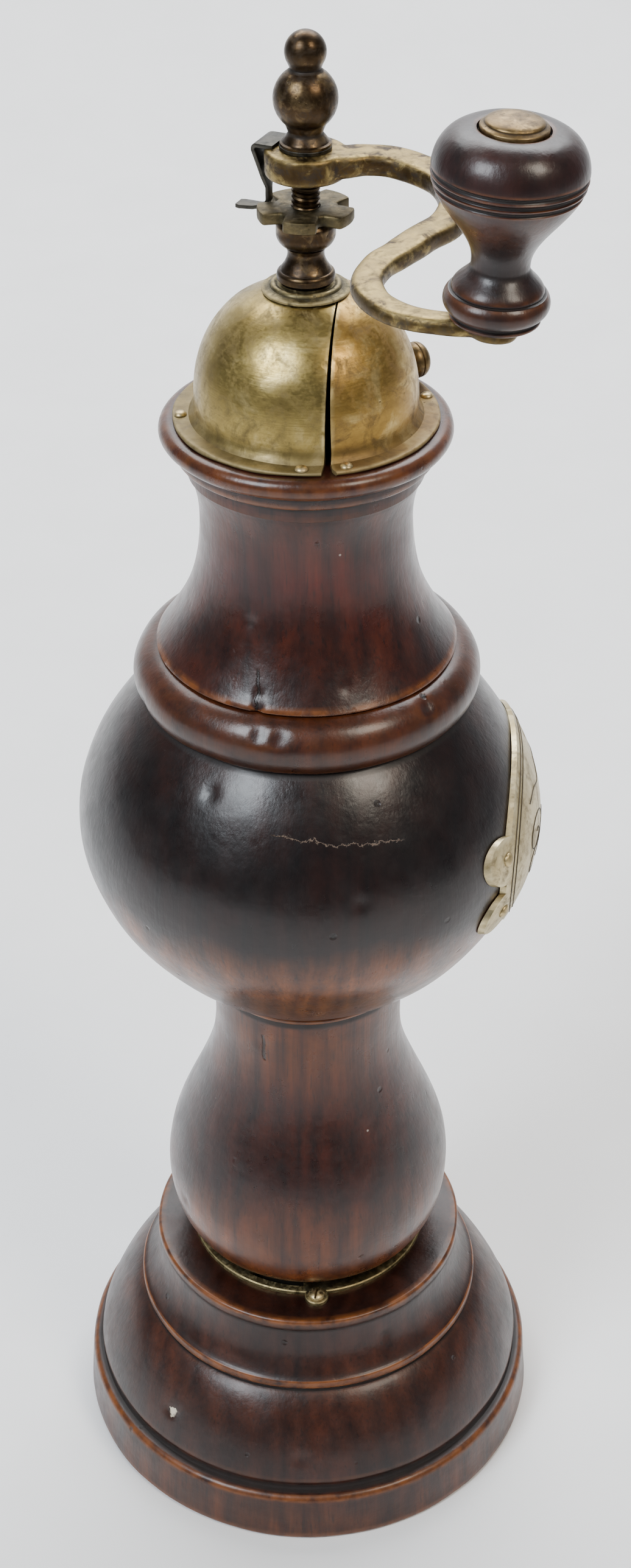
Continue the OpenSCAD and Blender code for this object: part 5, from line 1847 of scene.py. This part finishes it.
@dataclass
class Handle:
    """The turned wooden knob."""

    crank: Crank
    radius: float = 12.7
    foot: float = 8.9
    lip: float = 7.9
    neck: float = 4.9
    wide_share: float = 0.785
    groove: float = 0.45
    grooves: tuple[float, ...] = (-2.4, -1.2, 0.05)
    bore: float = 2.05
    lift: float = 0.1

    def belly_radius(self, z: float, start: float, wide: float) -> float:
        """Radius of the knob between its neck and its widest place."""
        share = min(max((z - start) / (wide - start), 0), 1)
        return self.neck + (self.radius - self.neck) * (1 - math.cos(math.pi * share)) / 2

    def side(self, start: float, wide: float, rim: float) -> Outline:
        """The outline from the neck to the recess, with its turned grooves."""
        end = (self.crank.cap + 0.7, rim)
        plain = [(self.belly_radius(z, start, wide), float(z)) for z in np.linspace(start + 0.5, wide, 60)]
        plain += bulge((self.radius, wide), end, 2.1, 30)[1:]
        plain = refined(plain, 0.22)
        points: Outline = []
        for r, z in plain:
            nearest = min(abs(z - wide - drop) for drop in self.grooves)
            points.append((r - math.sqrt(max(self.groove ** 2 - nearest ** 2, 0)), z))
        return points

    def build(self, shop: Workshop) -> None:
        """Builds and hands over the knob."""
        z0 = self.lift
        step, bead, lip = z0 + 0.7, z0 + 3.3, z0 + 5.2
        neck = lip + 4.3
        rim = z0 + self.crank.knob_height
        wide = z0 + self.wide_share * self.crank.knob_height
        outline = [(self.bore, z0), (self.foot - 1.5, z0), (self.foot - 1.3, z0 + 0.2),
                   (self.foot - 1.3, step - 0.25), (self.foot - 1.6, step)]
        outline += arc((self.foot - 2.3, bead), 2.3, -65, 48, 16)
        outline += [(self.lip + 0.05, lip - 0.2), (self.lip - 0.3, lip)]
        outline += [(self.neck + (self.lip - 0.2 - self.neck) * (1 + math.cos(math.pi * u)) / 2,
                     lip + 0.15 + (neck - lip - 0.15) * u) for u in np.linspace(0, 1, 16)]
        outline += self.side(neck + 0.5, wide, rim)
        outline += [(self.crank.cap + 0.35, rim - 0.15), (self.crank.cap + 0.3, rim - self.crank.recess),
                    (self.bore, rim - self.crank.recess)]
        piece = turned("knob_turned", outline, 144, 0.5, self.crank.handle_place())
        aged(piece, 0.08, 6)
        shop.hand_over(piece, "handle", Wood.KNOB, ["handle_knob"], relief=0.7)


# ---------------------------------------------------------------------------------------------------
# Stage


@dataclass
class Studio:
    """Camera, floor and soft lights."""

    camera_at: tuple[float, float, float] = (0.00185, -0.42933, 0.49654)
    pitch: float = 54.564
    lens: float = 54.08
    floor: float = 6.0

    def camera(self) -> None:
        """The camera, above the mill and looking down at it."""
        data = bpy.data.cameras.new("camera")
        data.lens = self.lens
        data.sensor_width = 36
        data.clip_start = 0.01
        piece = bpy.data.objects.new("camera", data)
        piece.location = self.camera_at
        piece.rotation_euler = (math.radians(self.pitch), 0, 0)
        bpy.context.scene.collection.objects.link(piece)
        bpy.context.scene.camera = piece

    def light(self, name: str, at: Sequence[float], size: Point, power: float, colour: Colour,
              target: Sequence[float] = (0, 0, 0.2)) -> None:
        """A soft rectangular light that faces a target.

        Args:
            name: Its name.
            at: Where it stands, in metres.
            size: Width and height in metres.
            power: Power in watts.
            colour: Its colour.
            target: What it faces.
        """
        data = bpy.data.lights.new(name, "AREA")
        data.shape = "RECTANGLE"
        data.size, data.size_y = size
        data.energy = power
        data.color = colour
        piece = bpy.data.objects.new(name, data)
        piece.location = at
        piece.rotation_euler = (Vector(target) - Vector(at)).to_track_quat("-Z", "Y").to_euler()
        bpy.context.scene.collection.objects.link(piece)

    def backdrop(self) -> None:
        """A pale floor that curves up into a wall behind the mill."""
        rise, back, bend = 2.5, 1.3, 0.5
        side = [(-self.floor, 0.0), (back - bend, 0.0)]
        side += [(back - bend + bend * math.sin(a), bend - bend * math.cos(a))
                 for a in np.linspace(0, math.pi / 2, 13)]
        side += [(back, rise)]
        points = [(x, y, z) for y, z in side for x in (-self.floor, self.floor)]
        faces = [[2 * i, 2 * i + 1, 2 * i + 3, 2 * i + 2] for i in range(len(side) - 1)]
        mesh = bpy.data.meshes.new("floor")
        mesh.from_pydata(points, [], faces)
        mesh.polygons.foreach_set("use_smooth", [True] * len(faces))
        p = Paint("floor_pale")
        tone = p.remap(p.noise([0.02] * 3, 4), 0.3, 0.7, 0.80, 0.84)
        colour = p.node("CombineColor", {0: tone, 1: tone, 2: tone}).outputs[0]
        mesh.materials.append(p.finish(Base_Color=colour, Roughness=0.75))
        new_object("floor", mesh)

    def world(self) -> None:
        """A faint even light from all sides."""
        world = bpy.data.worlds.new("studio")
        world.use_nodes = True
        background = world.node_tree.nodes["Background"]
        background.inputs["Color"].default_value = (0.80, 0.86, 0.95, 1)
        background.inputs["Strength"].default_value = 0.28
        bpy.context.scene.world = world

    def build(self) -> None:
        """Sets up the stage."""
        self.camera()
        self.backdrop()
        self.world()
        self.light("window_left", (-0.75, -0.75, 1.25), (0.5, 0.7), 24.0, (0.86, 0.93, 1.0))
        self.light("lamp_right", (0.62, -0.55, 1.15), (0.35, 0.45), 9.0, (1.0, 0.90, 0.76))
        self.light("fill_back", (0.2, 1.0, 1.2), (1.2, 0.6), 6.0, (0.95, 0.97, 1.0))
        self.light("wash_floor", (0.0, 0.95, 1.5), (1.8, 0.9), 38.0, (0.98, 0.99, 1.0), (0, 0.9, 0))


def main() -> None:
    """Sets up the stage, then builds the mill's sub-assemblies in order."""
    logging.basicConfig(level=logging.INFO, format="%(name)s: %(message)s")
    shop = Workshop()
    belly, dome, crank = BellyHopper(), Dome(), Crank()
    parts = (BayonetBase(), PedestalBulb(), belly, NeckCollar(), NamePlate(belly), dome, LoadingDoor(dome),
             Bushing(), StarNut(), Spindle(), crank, NutCatch(), Finial(), Handle(crank))
    Studio().build()
    for part in parts:
        part.build(shop)


if __name__ == "__main__":
    main()
